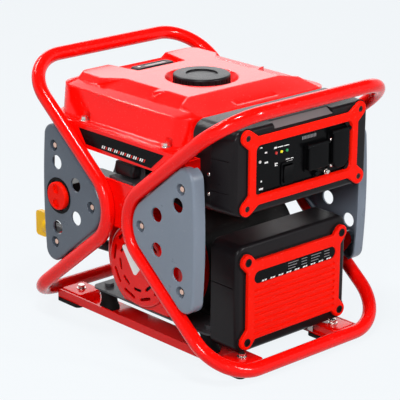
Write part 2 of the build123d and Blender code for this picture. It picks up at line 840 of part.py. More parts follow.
# The front half spreads from the bezel back to the split; the rear half runs straight
# on to the tank.
with BuildPart() as control_housing:
    loft(
        [
            housing_section(housing_front, housing_half_x, housing_bottom, housing_top,
                            housing_corner),
            housing_section(housing_split, shell_half_x, shell_bottom, shell_top,
                            shell_corner),
        ],
        ruled=True,
    )
    fillet(control_housing.faces().sort_by(Axis.Y)[0].edges(), housing_edge_fillet)
    loft(
        [
            housing_section(housing_front + housing_wall, housing_half_x - housing_wall,
                            housing_bottom + housing_wall,
                            housing_top - scoop_depth_z - housing_wall,
                            housing_corner - housing_wall),
            housing_section(housing_split, shell_half_x - housing_wall,
                            shell_bottom + housing_wall, shell_top - housing_wall,
                            shell_corner - housing_wall),
        ],
        ruled=True,
        mode=Mode.SUBTRACT,
    )
    with BuildSketch(Plane.XZ.offset(-housing_front)):
        with Locations((0, bezel_middle)):
            RectangleRounded(2 * panel_opening_half_x, 2 * panel_opening_half_z, 6)
    extrude(amount=-housing_wall, mode=Mode.SUBTRACT)
    with BuildSketch(Plane.YZ.offset(-scoop_half)):
        Polygon(
            (housing_front - scoop_back_rise, housing_top - scoop_depth_z),
            (housing_front + scoop_depth_y, housing_top + scoop_back_rise),
            (housing_front - scoop_back_rise, housing_top + scoop_back_rise),
            align=None,
        )
    extrude(amount=2 * scoop_half, mode=Mode.SUBTRACT)
    for height in side_seams:
        for side in (-1, 1):
            extrude(seam_groove(side, height), amount=seam_width, mode=Mode.SUBTRACT)
    with BuildSketch(Plane.XZ.offset(-housing_front)):
        with Locations(*bezel_screws):
            Circle(bolt_hole)
    extrude(amount=-screw_reach, mode=Mode.SUBTRACT)
save(control_housing, "control_housing")

with BuildPart() as control_housing_back:
    extrude(
        housing_section(housing_split, shell_half_x, shell_bottom, shell_top, shell_corner),
        amount=housing_split - housing_back,
    )
    fillet(control_housing_back.faces().sort_by(Axis.Y)[-1].edges(), 4)
    extrude(
        housing_section(housing_split, shell_half_x - housing_wall, shell_bottom + housing_wall,
                        shell_top - housing_wall, shell_corner - housing_wall),
        amount=housing_split - housing_back + housing_wall, mode=Mode.SUBTRACT,
    )
save(control_housing_back, "control_housing_back")

# Red bezel: a rounded frame whose four ears carry the screws.
ear_blend_radius = 13.0
ear_blend_x = 104.0
ear_blend_z = 42.0
bezel_face = housing_front - bezel_depth
screw_counterbore = 4.6
screw_sink = 2.5


def eared_plate(middle_z, half_x, half_z, ear_x, ear_z, blend, corner, face_y):
    """Gives the outline of a rounded plate with an ear blended onto each corner."""
    blend_x, blend_z, blend_radius = blend
    with BuildSketch(Plane.XZ.offset(-face_y)) as plate:
        with Locations((0, middle_z)):
            RectangleRounded(2 * half_x, 2 * half_z, corner)
        for side in (-1, 1):
            for end in (-1, 1):
                with BuildSketch(mode=Mode.PRIVATE) as ear:
                    with Locations((side * ear_x, middle_z + end * ear_z)):
                        Circle(ear_radius)
                    with Locations((side * blend_x, middle_z + end * blend_z)):
                        Circle(blend_radius)
                    make_hull()
                add(ear.sketch)
    return plate.sketch


with BuildPart() as control_bezel:
    extrude(
        eared_plate(bezel_middle, bezel_half_x, bezel_half_z, bezel_ear_x, bezel_ear_z,
                    (ear_blend_x, ear_blend_z, ear_blend_radius), 10, housing_front),
        amount=bezel_depth,
    )
    fillet(control_bezel.faces().sort_by(Axis.Y)[0].edges(), 1.5)
    with BuildSketch(Plane.XZ.offset(-housing_front)):
        with Locations((0, bezel_middle)):
            RectangleRounded(2 * (bezel_half_x - bezel_band), 2 * (bezel_half_z - bezel_band), 7)
    extrude(amount=bezel_depth, taper=-25, mode=Mode.SUBTRACT)
    with BuildSketch(Plane.XZ.offset(-bezel_face)):
        with Locations(*bezel_screws):
            Circle(screw_counterbore)
    extrude(amount=-screw_sink, mode=Mode.SUBTRACT)
    with BuildSketch(Plane.XZ.offset(-bezel_face)):
        with Locations(*bezel_screws):
            Circle(bolt_hole)
    extrude(amount=-bezel_depth, mode=Mode.SUBTRACT)
save(control_bezel, "control_bezel")

# The black panel face sits behind the opening and carries everything electrical.
face_plate = 3.0
collar_height = 2.0
socket_bore = 17.0
socket_spots = [(29.5, 317.0), (78.0, 319.0)]
rocker_x = -30.0
rocker_z = 302.0
rocker_half_x = 9.5
rocker_half_z = 13.5
rocker_frame = 4.0
running_gap = 0.3
button_x = 29.0
button_z = 289.0
button_radius = 3.8
button_collar = 5.5
terminal_x = 49.5
terminal_z = 288.0
lamp_spots = [(-53.5, 337.0), (-42.5, 337.0), (-31.0, 337.0), (-87.0, 330.0)]
lamp_radius = 2.4
panel_back = panel_plane + face_plate
with BuildPart() as control_panel_face:
    with BuildSketch(Plane.XZ.offset(-panel_plane)):
        with Locations((0, bezel_middle)):
            RectangleRounded(2 * (panel_opening_half_x + 6), 2 * (panel_opening_half_z + 6), 5)
    extrude(amount=-face_plate)
    with BuildSketch(Plane.XZ.offset(-panel_plane)):
        with Locations((rocker_x, rocker_z)):
            RectangleRounded(2 * (rocker_half_x + rocker_frame),
                             2 * (rocker_half_z + rocker_frame), 4)
        with Locations((button_x, button_z)):
            Circle(button_collar)
    extrude(amount=collar_height)
    with BuildSketch(Plane.XZ.offset(-panel_plane + collar_height)):
        with Locations((rocker_x, rocker_z)):
            Rectangle(2 * (rocker_half_x + running_gap), 2 * (rocker_half_z + running_gap))
        with Locations((button_x, button_z)):
            Circle(button_radius + running_gap)
        with Locations(*socket_spots):
            Circle(socket_bore)
        with Locations((terminal_x, terminal_z)):
            Circle(bolt_radius)
        with Locations(*lamp_spots):
            Circle(lamp_radius)
    extrude(amount=-face_plate - collar_height, mode=Mode.SUBTRACT)
save(control_panel_face, "control_panel_face")

# Earthed sockets: a flange on the face with two lugs for its lid, and a cup behind
# it with three pin holes.
socket_flange = 2.5
cup_depth = 18.0
well_radius = socket_bore - 2.0
pin_radius = 2.4
pin_spread = 9.5
lid_gap = 0.3
lid_plate = 6.0
hinge_radius = 2.8
lug_width = 2.5
lug_half = 3.5
hinge_pin_radius = 1.4
hinge_pin_fit = 0.05
socket_front = panel_plane - socket_flange
lid_plane = socket_front - lid_gap
hinge_y = lid_plane - hinge_radius - 0.2
# Each socket: flange centre z, flange half sizes, lid centre x, lid half width, lid bottom
# and hinge height, and the rounding of the lid's lower corners.
left_lid_x = 29.5
left_lid_half = 21.0
left_hinge_z = 335.5
left_lid_bottom = 297.0
right_lid_x = 78.5
right_lid_half = 17.5
right_hinge_z = 348.0
right_lid_bottom = 289.0
with BuildPart() as ac_sockets:
    with BuildSketch(Plane.XZ.offset(-panel_plane)):
        with Locations((29.5, 317.0)):
            RectangleRounded(49, 44, 4)
        with Locations((78.0, 320.0)):
            RectangleRounded(46, 66, 4)
    extrude(amount=socket_flange)
    with BuildSketch(Plane.XZ.offset(-panel_plane)):
        with Locations(*socket_spots):
            Circle(socket_bore)
    extrude(amount=-cup_depth)
    with BuildSketch(Plane.XZ.offset(-socket_front)):
        with Locations(*socket_spots):
            Circle(well_radius)
    extrude(amount=-cup_depth, mode=Mode.SUBTRACT)
    with BuildSketch(Plane.XZ.offset(-panel_plane)):
        for x, z in socket_spots:
            with Locations((x - pin_spread, z), (x + pin_spread, z), (x, z - pin_spread)):
                Circle(pin_radius)
    extrude(amount=-cup_depth, mode=Mode.SUBTRACT)
    for x, half, z in ((left_lid_x, left_lid_half, left_hinge_z),
                       (right_lid_x, right_lid_half, right_hinge_z)):
        for side in (-1, 1):
            inner = x + side * (half + running_gap)
            middle = inner + side * lug_width / 2
            with BuildSketch(Plane.YZ.offset(middle - lug_width / 2)):
                with Locations((hinge_y, z)):
                    Circle(lug_half)
                with Locations(((hinge_y + socket_front) / 2, z)):
                    Rectangle(socket_front - hinge_y, 2 * lug_half)
                with Locations((hinge_y, z)):
                    Circle(hinge_pin_radius + hinge_pin_fit, mode=Mode.SUBTRACT)
            extrude(amount=lug_width)
save(ac_sockets, "ac_sockets")


def socket_lid(middle_x, half, hinge_z, bottom_z, lower_radius):
    """Builds a lid that hangs from a barrel with a stub pin at each end."""
    with BuildPart() as lid:
        with BuildSketch(Plane.XZ.offset(-lid_plane)) as outline:
            with Locations((middle_x, (hinge_z + bottom_z) / 2)):
                Rectangle(2 * half, hinge_z - bottom_z)
            fillet(outline.vertices().group_by(Axis.Y)[0], lower_radius)
        extrude(amount=lid_plate)
        fillet(lid.faces().sort_by(Axis.Y)[0].edges(), 2)
        with BuildSketch(Plane.YZ.offset(middle_x - half)):
            with Locations((hinge_y, hinge_z)):
                Circle(hinge_radius)
        extrude(amount=2 * half)
        pin_half = half + running_gap + lug_width
        with BuildSketch(Plane.YZ.offset(middle_x - pin_half)):
            with Locations((hinge_y, hinge_z)):
                Circle(hinge_pin_radius)
        extrude(amount=2 * pin_half)
    return lid.part


with BuildPart() as left_socket_lid:
    add(socket_lid(left_lid_x, left_lid_half, left_hinge_z, left_lid_bottom, 4))
save(left_socket_lid, "left_socket_lid")

with BuildPart() as right_socket_lid:
    add(socket_lid(right_lid_x, right_lid_half, right_hinge_z, right_lid_bottom, 16))
save(right_socket_lid, "right_socket_lid")

# Economy switch: a rocker that tips about a pin across its middle.
rocker_axis_y = panel_plane - 1.0
rocker_tip = 4.5
rocker_hollow = 2.0
rocker_tail = 6.0
with BuildPart() as economy_switch:
    with BuildSketch(Plane.YZ.offset(rocker_x - rocker_half_x)):
        with BuildLine():
            Polyline(
                (rocker_axis_y - rocker_tip, rocker_z + rocker_half_z - 1),
                (rocker_axis_y + rocker_tail, rocker_z + rocker_half_z - 4),
                (rocker_axis_y + rocker_tail, rocker_z - rocker_half_z + 4),
                (rocker_axis_y - rocker_tip, rocker_z - rocker_half_z + 1),
            )
            ThreePointArc(
                (rocker_axis_y - rocker_tip, rocker_z - rocker_half_z + 1),
                (rocker_axis_y - rocker_tip + rocker_hollow, rocker_z),
                (rocker_axis_y - rocker_tip, rocker_z + rocker_half_z - 1),
            )
        make_face()
    extrude(amount=2 * rocker_half_x)
save(economy_switch, "economy_switch")

# Circuit breaker: a round button that is pushed in against its spring.
button_travel = 3.0
button_front = panel_plane - collar_height - button_travel - 2.0
with BuildPart() as breaker_button:
    with BuildSketch(Plane.XZ.offset(-button_front)):
        with Locations((button_x, button_z)):
            Circle(button_radius)
    extrude(amount=-(panel_back - button_front + button_travel))
    fillet(breaker_button.faces().sort_by(Axis.Y)[0].edges(), 1)
    with BuildSketch(Plane.XZ.offset(-panel_back - running_gap)):
        with Locations((button_x, button_z)):
            Circle(button_radius + 1.5)
    extrude(amount=-1.2)
save(breaker_button, "breaker_button")

with BuildPart() as status_lamps:
    with BuildSketch(Plane.XZ.offset(-panel_back)):
        with Locations(*lamp_spots):
            Circle(lamp_radius)
    extrude(amount=face_plate + 1.5)
    fillet(status_lamps.faces().group_by(Axis.Y)[0].edges(), 1)
save(status_lamps, "status_lamps")

terminal_reach = 9.0
with BuildPart() as ground_terminal:
    with BuildSketch(Plane.XZ.offset(-panel_back)):
        with Locations((terminal_x, terminal_z)):
            Circle(bolt_radius)
    extrude(amount=face_plate + terminal_reach)
    with BuildSketch(Plane.XZ.offset(-panel_plane)):
        with Locations((terminal_x, terminal_z)):
            RegularPolygon(4.4, 6)
    extrude(amount=terminal_reach - 4)
save(ground_terminal, "ground_terminal")

# ---------------------------------------------------------------- inverter box
cover_back = box_front
cover_face = box_front - cover_depth
slot_label_z = 147.0
slot_label_half = 88.0
slot_label_height = 20.0
rib_count = 8
rib_pitch = 10.0
rib_first = 58.0
groove_height = 5.0
groove_depth = 2.2
cover_screws = [(x, cover_middle + z) for x in (-cover_ear_x, cover_ear_x)
                for z in (-cover_ear_z, cover_ear_z)]
box_seam = 133.0
box_middle = (box_bottom + box_top) / 2
box_half_z = (box_top - box_bottom) / 2
with BuildPart() as inverter_housing:
    with BuildSketch(Plane.XZ.offset(-box_back)):
        with Locations((0, box_middle)):
            RectangleRounded(2 * box_half_x, 2 * box_half_z, 16)
    extrude(amount=box_back - box_front)
    fillet(inverter_housing.faces().sort_by(Axis.Y)[0].edges(), 7)
    with BuildSketch(Plane.XZ.offset(-box_back)):
        with Locations((0, box_middle)):
            RectangleRounded(2 * (box_half_x - box_wall), 2 * (box_half_z - box_wall), 11)
    extrude(amount=box_back - box_front - box_wall, mode=Mode.SUBTRACT)
    with BuildSketch(Plane.XZ.offset(-box_front)):
        with Locations(*cover_screws):
            Circle(bolt_hole)
    extrude(amount=-box_wall, mode=Mode.SUBTRACT)
    with BuildSketch(Plane.XY.offset(box_seam)):
        for side in (-1, 1):
            with Locations((side * box_half_x, (box_front + 8 + box_back) / 2)):
                Rectangle(2 * seam_depth, box_back - box_front - 8)
    extrude(amount=seam_width, mode=Mode.SUBTRACT)
save(inverter_housing, "inverter_housing")

with BuildPart() as inverter_cover:
    extrude(
        eared_plate(cover_middle, cover_half_x, cover_half_z, cover_ear_x, cover_ear_z,
                    (90, 52, 12), 8, cover_back),
        amount=cover_depth,
    )
    fillet(inverter_cover.faces().sort_by(Axis.Y)[0].edges(), 2)
    with BuildSketch(Plane.XZ.offset(-cover_face)):
        with Locations(*[(0, rib_first + rib_pitch * row) for row in range(rib_count)]):
            SlotOverall(2 * (cover_half_x - 12), groove_height)
        with Locations((0, slot_label_z)):
            SlotOverall(2 * slot_label_half, slot_label_height)
    extrude(amount=-groove_depth, mode=Mode.SUBTRACT)
    with BuildSketch(Plane.XZ.offset(-cover_face)):
        with Locations(*cover_screws):
            Circle(screw_counterbore)
    extrude(amount=-screw_sink, mode=Mode.SUBTRACT)
    with BuildSketch(Plane.XZ.offset(-cover_face)):
        with Locations(*cover_screws):
            Circle(bolt_hole)
    extrude(amount=-cover_depth, mode=Mode.SUBTRACT)
save(inverter_cover, "inverter_cover")

fin_count = 15
with BuildPart() as inverter_module:
    with BuildSketch(Plane.XY.offset(box_bottom + box_wall)):
        with Locations((0, -176)):
            Rectangle(190, 18)
        with Locations((0, -158)):
            with GridLocations(12.5, 1, fin_count, 1):
                Rectangle(2.5, 20)
    extrude(amount=138)
save(inverter_module, "inverter_module")

# Pan-head screws through the bezel and the inverter cover.
with BuildPart() as housing_screws:
    for face, spots in ((bezel_face, bezel_screws), (cover_face, cover_screws)):
        seat = face + screw_sink
        reach = (bezel_depth if face == bezel_face else cover_depth) + box_wall - screw_sink
        with BuildSketch(Plane.XZ.offset(-seat)):
            with Locations(*spots):
                Circle(screw_counterbore - 0.2)
                RegularPolygon(1.6, 6, mode=Mode.SUBTRACT)
        extrude(amount=2)
        with BuildSketch(Plane.XZ.offset(-seat)):
            with Locations(*spots):
                Circle(bolt_radius)
        extrude(amount=-reach)
save(housing_screws, "housing_screws")

# Brackets from the front arms to the sides of the control housing: a plate on the
# upper panel tab, a cross plate and a lug that lies on the housing's rear half.
bracket_bottom = 310.0
bracket_top = 333.0
bracket_front = -146.0
bracket_rear = -112.0
bracket_lug = 16.0
bracket_face = tube_inner_face - weld_plate
bracket_middle_y = (bracket_front + bracket_rear) / 2
with BuildPart() as housing_brackets:
    for side in (-1, 1):
        with BuildSketch(Plane.XY.offset(bracket_bottom)):
            with Locations((side * (bracket_face - weld_plate / 2), bracket_middle_y)):
                Rectangle(weld_plate, bracket_rear - bracket_front)
            with Locations((side * (shell_half_x + bracket_face) / 2,
                            bracket_front + weld_plate / 2)):
                Rectangle(bracket_face - shell_half_x, weld_plate)
            with Locations((side * (shell_half_x + weld_plate / 2),
                            bracket_front + bracket_lug / 2)):
                Rectangle(weld_plate, bracket_lug)
        extrude(amount=bracket_top - bracket_bottom)
save(housing_brackets, "housing_brackets")

# ---------------------------------------------------------------- engine
# The crankshaft runs from side to side. The cylinder leans back towards +Y.
def cylinder_plane(distance):
    """Gives the plane across the cylinder at this distance from the crankshaft."""
    ahead = cos(radians(cylinder_tilt))
    rise = sin(radians(cylinder_tilt))
    return Plane(
        origin=(cylinder_x, distance * ahead, crank_height + distance * rise),
        x_dir=(1, 0, 0),
        z_dir=(0, ahead, rise),
    )


crankcase_middle_z = (cradle_top + crankcase_top) / 2
crankcase_half_z = (crankcase_top - cradle_top) / 2
crankcase_length = crankcase_right - crankcase_left
deck_half_x = 46.0
deck_half_y = 46.0
bore_radius = 34.0
sleeve_radius = 38.0
foot_flange_y = 88.0
foot_flange = 8.0
filler_x = -50.0
filler_z = 88.0
filler_radius = 9.0
with BuildPart() as crankcase:
    with BuildSketch(Plane.YZ.offset(crankcase_left)):
        with Locations((0, crankcase_middle_z)):
            RectangleRounded(2 * crankcase_half_y, 2 * crankcase_half_z, 22)
    extrude(amount=crankcase_length)
    with BuildSketch(Plane.XY.offset(cradle_top)):
        with Locations((crankcase_left + crankcase_length / 2, 0)):
            RectangleRounded(crankcase_length - 20, 2 * foot_flange_y, 8)
    extrude(amount=foot_flange)
    with BuildSketch(cylinder_plane(20)):
        Rectangle(2 * deck_half_x, 2 * deck_half_y)
    extrude(amount=deck_distance - 20)
    with BuildSketch(Plane.YZ.offset(crankcase_left + crankcase_wall)):
        with Locations((0, crankcase_middle_z)):
            RectangleRounded(
                2 * (crankcase_half_y - crankcase_wall),
                2 * (crankcase_half_z - crankcase_wall),
                22 - crankcase_wall,
            )
    extrude(amount=crankcase_length - 2 * crankcase_wall, mode=Mode.SUBTRACT)
    with BuildSketch(cylinder_plane(20)):
        Circle(bore_radius)
    extrude(amount=deck_distance - 20, mode=Mode.SUBTRACT)
    with BuildSketch(Plane.YZ.offset(crankcase_left)):
        with Locations((0, crank_height)):
            Circle(shaft_radius + shaft_fit)
    extrude(amount=crankcase_length, mode=Mode.SUBTRACT)
    with BuildSketch(Plane.XZ.offset(-crankcase_half_y)):
        with Locations((filler_x, filler_z)):
            Circle(filler_radius - 2)
    extrude(amount=crankcase_wall, mode=Mode.SUBTRACT)
save(crankcase, "crankcase")

barrel_length = 54.0
fin_half = 41.0
fin_pitch = 8.0
fin_plate = 2.5
fin_total = 6
with BuildPart() as cylinder:
    with BuildSketch(cylinder_plane(deck_distance)):
        Circle(sleeve_radius)
    extrude(amount=barrel_length)
    with BuildSketch(cylinder_plane(deck_distance)):
        RectangleRounded(2 * deck_half_x - 4, 2 * deck_half_y - 4, 10)
    extrude(amount=4)
    for row in range(fin_total):
        with BuildSketch(cylinder_plane(deck_distance + fin_pitch * (row + 0.75))):
            RectangleRounded(2 * fin_half, 2 * fin_half, 12)
        extrude(amount=fin_plate)
    with BuildSketch(cylinder_plane(deck_distance)):
        Circle(bore_radius - 4)
    extrude(amount=barrel_length, mode=Mode.SUBTRACT)
save(cylinder, "cylinder")

head_start = deck_distance + barrel_length
head_length = 25.0
head_half_x = 42.0
head_half_y = 40.0
head_groove = 3.0
plug_distance = head_start + head_length / 2
plug_bore = 7.0
plug_depth = 16.0
plug_top_plane = Plane(
    origin=(
        cylinder_x,
        plug_distance * cos(radians(cylinder_tilt)) - head_half_y * sin(radians(cylinder_tilt)),
        crank_height + plug_distance * sin(radians(cylinder_tilt))
        + head_half_y * cos(radians(cylinder_tilt)),
    ),
    x_dir=(1, 0, 0),
    z_dir=(0, -sin(radians(cylinder_tilt)), cos(radians(cylinder_tilt))),
)
with BuildPart() as cylinder_head:
    with BuildSketch(cylinder_plane(head_start)):
        RectangleRounded(2 * head_half_x, 2 * head_half_y, 8)
    extrude(amount=head_length)
    for row in range(3):
        with BuildSketch(cylinder_plane(head_start + 4 + 7 * row)):
            with Locations((0, -head_half_y), (0, head_half_y)):
                Rectangle(2 * head_half_x - 30, 16)
        extrude(amount=head_groove, mode=Mode.SUBTRACT)
    with BuildSketch(plug_top_plane):
        Circle(head_length / 2 - 0.5)
    extrude(amount=-plug_depth)
    with BuildSketch(plug_top_plane):
        Circle(plug_bore)
    extrude(amount=-plug_depth, mode=Mode.SUBTRACT)
save(cylinder_head, "cylinder_head")

with BuildPart() as valve_cover:
    with BuildSketch(cylinder_plane(head_start + head_length)):
        RectangleRounded(2 * head_half_x, 2 * head_half_y, 10)
    extrude(amount=4)
    with BuildSketch(cylinder_plane(head_start + head_length + 4)):
        RectangleRounded(2 * head_half_x - 10, 2 * head_half_y - 10, 12)
    extrude(amount=22, taper=8)
    cover_front = valve_cover.faces().sort_by(Axis((0, 0, 0), (0, cos(radians(cylinder_tilt)),
                                                              sin(radians(cylinder_tilt)))))[-1]
    fillet(cover_front.edges(), 5)
save(valve_cover, "valve_cover")

with BuildPart() as spark_plug:
    with BuildSketch(plug_top_plane):
        Circle(plug_bore)
    extrude(amount=-plug_depth)
    with BuildSketch(plug_top_plane):
        RegularPolygon(11, 6)
    extrude(amount=10)
    with BuildSketch(plug_top_plane.offset(10)):
        Circle(9.5)
    extrude(amount=24, taper=6)
    fillet(spark_plug.faces().sort_by(Axis.Z)[-1].edges(), 3)
save(spark_plug, "spark_plug")

web_radius = 36.0
web_plate = 12.0
web_spread = 14.0
throw = 22.0
crank_pin_radius = 14.0
shaft_left = -127.0
shaft_right = alternator_end + 2.0
with BuildPart() as crankshaft:
    with BuildSketch(Plane.YZ.offset(shaft_left)):
        with Locations((0, crank_height)):
            Circle(shaft_radius)
    extrude(amount=shaft_right - shaft_left)
    with BuildSketch(Plane.YZ.offset(cylinder_x - web_spread)):
        with Locations((0, crank_height)):
            Circle(web_radius)
    extrude(amount=2 * web_spread, mode=Mode.SUBTRACT)
    for start in (cylinder_x - web_spread - web_plate, cylinder_x + web_spread):
        with BuildSketch(Plane.YZ.offset(start)):
            with Locations((0, crank_height)):
                Circle(web_radius)
            with Locations((0, crank_height + web_radius)):
                Rectangle(2 * web_radius, web_radius, mode=Mode.SUBTRACT)
            with Locations((0, crank_height + throw / 2)):
                SlotCenterToCenter(throw, 2 * crank_pin_radius + 6, rotation=90)
        extrude(amount=web_plate)
    with BuildSketch(Plane.YZ.offset(cylinder_x - web_spread)):
        with Locations((0, crank_height + throw)):
            Circle(crank_pin_radius)
    extrude(amount=2 * web_spread)
save(crankshaft, "crankshaft")

# ---------------------------------------------------------------- flywheel and blower
flywheel_radius = 72.0
flywheel_left = -122.0
flywheel_right = -84.0
flywheel_disc = 12.0
hub_radius = 22.0
blade_count = 14
blade_plate = 3.0
starter_cup_radius = 34.0
with BuildPart() as flywheel:
    with BuildSketch(Plane.YZ.offset(flywheel_right - flywheel_disc)):
        with Locations((0, crank_height)):
            Circle(flywheel_radius)
    extrude(amount=flywheel_disc)
    with BuildSketch(Plane.YZ.offset(flywheel_left)):
        with Locations((0, crank_height)):
            Circle(hub_radius)
            with PolarLocations((flywheel_radius + starter_cup_radius) / 2, blade_count):
                Rectangle(flywheel_radius - starter_cup_radius, blade_plate, rotation=25)
            Circle(starter_cup_radius)
    extrude(amount=flywheel_right - flywheel_disc - flywheel_left)
    with BuildSketch(Plane.YZ.offset(flywheel_left)):
        with Locations((0, crank_height)):
            Circle(starter_cup_radius - 3)
            Circle(shaft_radius + 4, mode=Mode.SUBTRACT)
    extrude(amount=14, mode=Mode.SUBTRACT)
    with BuildSketch(Plane.YZ.offset(flywheel_left)):
        with Locations((0, crank_height)):
            Circle(shaft_radius)
    extrude(amount=flywheel_right - flywheel_left, mode=Mode.SUBTRACT)
save(flywheel, "flywheel")

blower_flat = 47.0
blower_opening = 56.0


def blower_outline(start, inset):
    """Gives the round outline of the blower housing with its flat underside."""
    flat = blower_flat + inset
    with BuildSketch(Plane.YZ.offset(start)) as outline:
        with Locations((0, crank_height)):
            Circle(blower_radius - inset)
        with Locations((0, flat - blower_radius)):
            Rectangle(4 * blower_radius, 2 * blower_radius, mode=Mode.SUBTRACT)
    return outline.sketch


with BuildPart() as blower_housing:
    extrude(blower_outline(blower_front, 0), amount=crankcase_left - blower_front)
    fillet(blower_housing.faces().sort_by(Axis.X)[0].edges(), 8)
    extrude(blower_outline(blower_front + sheet, sheet),
            amount=crankcase_left - blower_front - 2 * sheet, mode=Mode.SUBTRACT)
    with BuildSketch(Plane.YZ.offset(blower_front)):
        with Locations((0, crank_height)):
            Circle(blower_opening)
    extrude(amount=sheet, mode=Mode.SUBTRACT)
    with BuildSketch(Plane.YZ.offset(crankcase_left)):
        with Locations((0, crank_height)):
            Circle(blower_opening)
    extrude(amount=-sheet, mode=Mode.SUBTRACT)
save(blower_housing, "blower_housing")

# ---------------------------------------------------------------- recoil starter
recoil_wall = 2.5
recoil_flange_radius = 74.0
recoil_slots = 9
recoil_slot_radius = 54.0
recoil_inner_slot_radius = 40.0
recoil_slot_width = 5.0
post_radius = 6.0
pulley_left = -139.0
pulley_right = -131.0
boss_radius = 30.0
boss_height = 3.0
rope_radius = 2.5
rope_exit_y = 40.0
with BuildPart() as recoil_housing:
    with BuildSketch(Plane.YZ.offset(recoil_front)):
        with Locations((0, crank_height)):
            Circle(recoil_radius)
    extrude(amount=blower_front - recoil_front)
    fillet(recoil_housing.faces().sort_by(Axis.X)[0].edges(), 6)
    with BuildSketch(Plane.YZ.offset(blower_front - recoil_wall)):
        with Locations((0, crank_height)):
            Circle(recoil_flange_radius)
    extrude(amount=recoil_wall)
    with BuildSketch(Plane.YZ.offset(recoil_front + recoil_wall)):
        with Locations((0, crank_height)):
            Circle(recoil_radius - recoil_wall)
    extrude(amount=blower_front - recoil_front, mode=Mode.SUBTRACT)
    with BuildSketch(Plane.YZ.offset(recoil_front)):
        with Locations((0, crank_height)):
            with PolarLocations(recoil_slot_radius, recoil_slots, start_angle=10):
                SlotOverall(27, recoil_slot_width, rotation=90)
            with PolarLocations(recoil_inner_slot_radius, recoil_slots, start_angle=30):
                SlotOverall(19, recoil_slot_width, rotation=90)
    extrude(amount=recoil_wall, mode=Mode.SUBTRACT)
    with BuildSketch(Plane.YZ.offset(recoil_front)):
        with Locations((0, crank_height)):
            RegularPolygon(boss_radius, 3, rotation=90)
    extrude(amount=-boss_height, taper=8)
    with BuildSketch(Plane.YZ.offset(recoil_front + recoil_wall)):
        with Locations((0, crank_height)):
            Circle(post_radius)
    extrude(amount=pulley_right - recoil_front - recoil_wall + 0.5)
    with BuildSketch(Plane.YZ.offset(pulley_right + 0.5)):
        with Locations((0, crank_height)):
            Circle(post_radius + 4)
    extrude(amount=2)
    with BuildSketch(Plane.XY.offset(crank_height)):
        with Locations(((pulley_left + pulley_right) / 2, rope_exit_y)):
            Circle(rope_radius + 1)
    extrude(amount=recoil_radius, mode=Mode.SUBTRACT)
save(recoil_housing, "recoil_housing")

pulley_groove = 5.0
with BuildPart() as recoil_pulley:
    with BuildSketch(Plane.YZ.offset(pulley_left)):
        with Locations((0, crank_height)):
            Circle(pulley_radius)
            Circle(post_radius + shaft_fit, mode=Mode.SUBTRACT)
            with PolarLocations(24, 6):
                Circle(6, mode=Mode.SUBTRACT)
    extrude(amount=pulley_right - pulley_left)
    with BuildSketch(Plane.YZ.offset((pulley_left + pulley_right) / 2 - pulley_groove / 2)):
        with Locations((0, crank_height)):
            Circle(pulley_radius + 1)
            Circle(pulley_radius - pulley_groove, mode=Mode.SUBTRACT)
    extrude(amount=pulley_groove, mode=Mode.SUBTRACT)
save(recoil_pulley, "recoil_pulley")

# The rope leaves through a guide behind the gusset; the handle parks against it.
guide_left = -tube_inner_face + weld_plate
guide_y = 10.0
guide_half = 26.0
guide_bottom = 240.0
guide_shelf = 268.0
guide_stand = -140.0
guide_top = 294.0
guide_plate = 3.0
eyelet_z = 281.0
with BuildPart() as rope_guide:
    with BuildSketch(Plane.XZ.offset(-guide_y + guide_half)):
        with BuildLine():
            Polyline(
                (guide_left, guide_bottom),
                (guide_left, guide_shelf),
                (guide_stand - guide_plate, guide_shelf),
                (guide_stand - guide_plate, guide_top),
                (guide_stand, guide_top),
                (guide_stand, guide_shelf - guide_plate),
                (guide_left + guide_plate, guide_shelf - guide_plate),
                (guide_left + guide_plate, guide_bottom),
                close=True,
            )
        make_face()
    extrude(amount=-2 * guide_half)
    with BuildSketch(Plane.YZ.offset(guide_stand - guide_plate)):
        with Locations((guide_y, eyelet_z)):
            Circle(rope_radius + 1)
    extrude(amount=guide_plate, mode=Mode.SUBTRACT)
save(rope_guide, "rope_guide")

grip_radius = 10.0
grip_half = 24.0
grip_x = guide_stand - guide_plate - grip_radius
grip_neck_radius = 7.0
with BuildPart() as starter_handle:
    with BuildSketch(Plane.XY.offset(eyelet_z)):
        with Locations((grip_x, guide_y)):
            RectangleRounded(2 * grip_radius, 2 * grip_half, 8)
    extrude(amount=grip_radius, both=True, taper=12)
    fillet(starter_handle.edges().filter_by(GeomType.LINE).group_by(Axis.Z)[0], 3)
    with BuildSketch(Plane.YZ.offset(grip_x)):
        with Locations((guide_y, eyelet_z)):
            Circle(grip_neck_radius)
    extrude(amount=grip_radius)
save(starter_handle, "starter_handle")

# ---------------------------------------------------------------- carburettor and filter
intake_y = 134.0
intake_z = 186.0
intake_end = -104.0
intake_start = cylinder_x - head_half_x
bowl_x = -82.0
bowl_radius = 19.0
bowl_bottom = 150.0
bowl_top = 178.0
throttle_top = 204.0
elbow_radius = 11.0
filter_bottom = 208.0
filter_top = 240.0
with BuildPart() as carburettor:
    with BuildSketch(Plane.YZ.offset(intake_end - 12)):
        with Locations((intake_y, intake_z)):
            Circle(15)
    extrude(amount=intake_start - intake_end + 12)
    with BuildSketch(Plane.YZ.offset(intake_start - 6)):
        with Locations((intake_y, intake_z)):
            RectangleRounded(34, 48, 8)
    extrude(amount=6)
    with BuildSketch(Plane.XY.offset(bowl_bottom)):
        with Locations((bowl_x, intake_y)):
            Circle(bowl_radius)
    extrude(amount=bowl_top - bowl_bottom)
    with BuildSketch(Plane.XY.offset(bowl_top)):
        with Locations((bowl_x, intake_y)):
            RectangleRounded(34, 36, 4)
    extrude(amount=throttle_top - bowl_top)
    with BuildSketch(Plane.XY.offset(intake_z + 4)):
        with Locations((intake_end, intake_y)):
            Circle(elbow_radius)
    extrude(amount=filter_bottom - intake_z - 4)
save(carburettor, "carburettor")

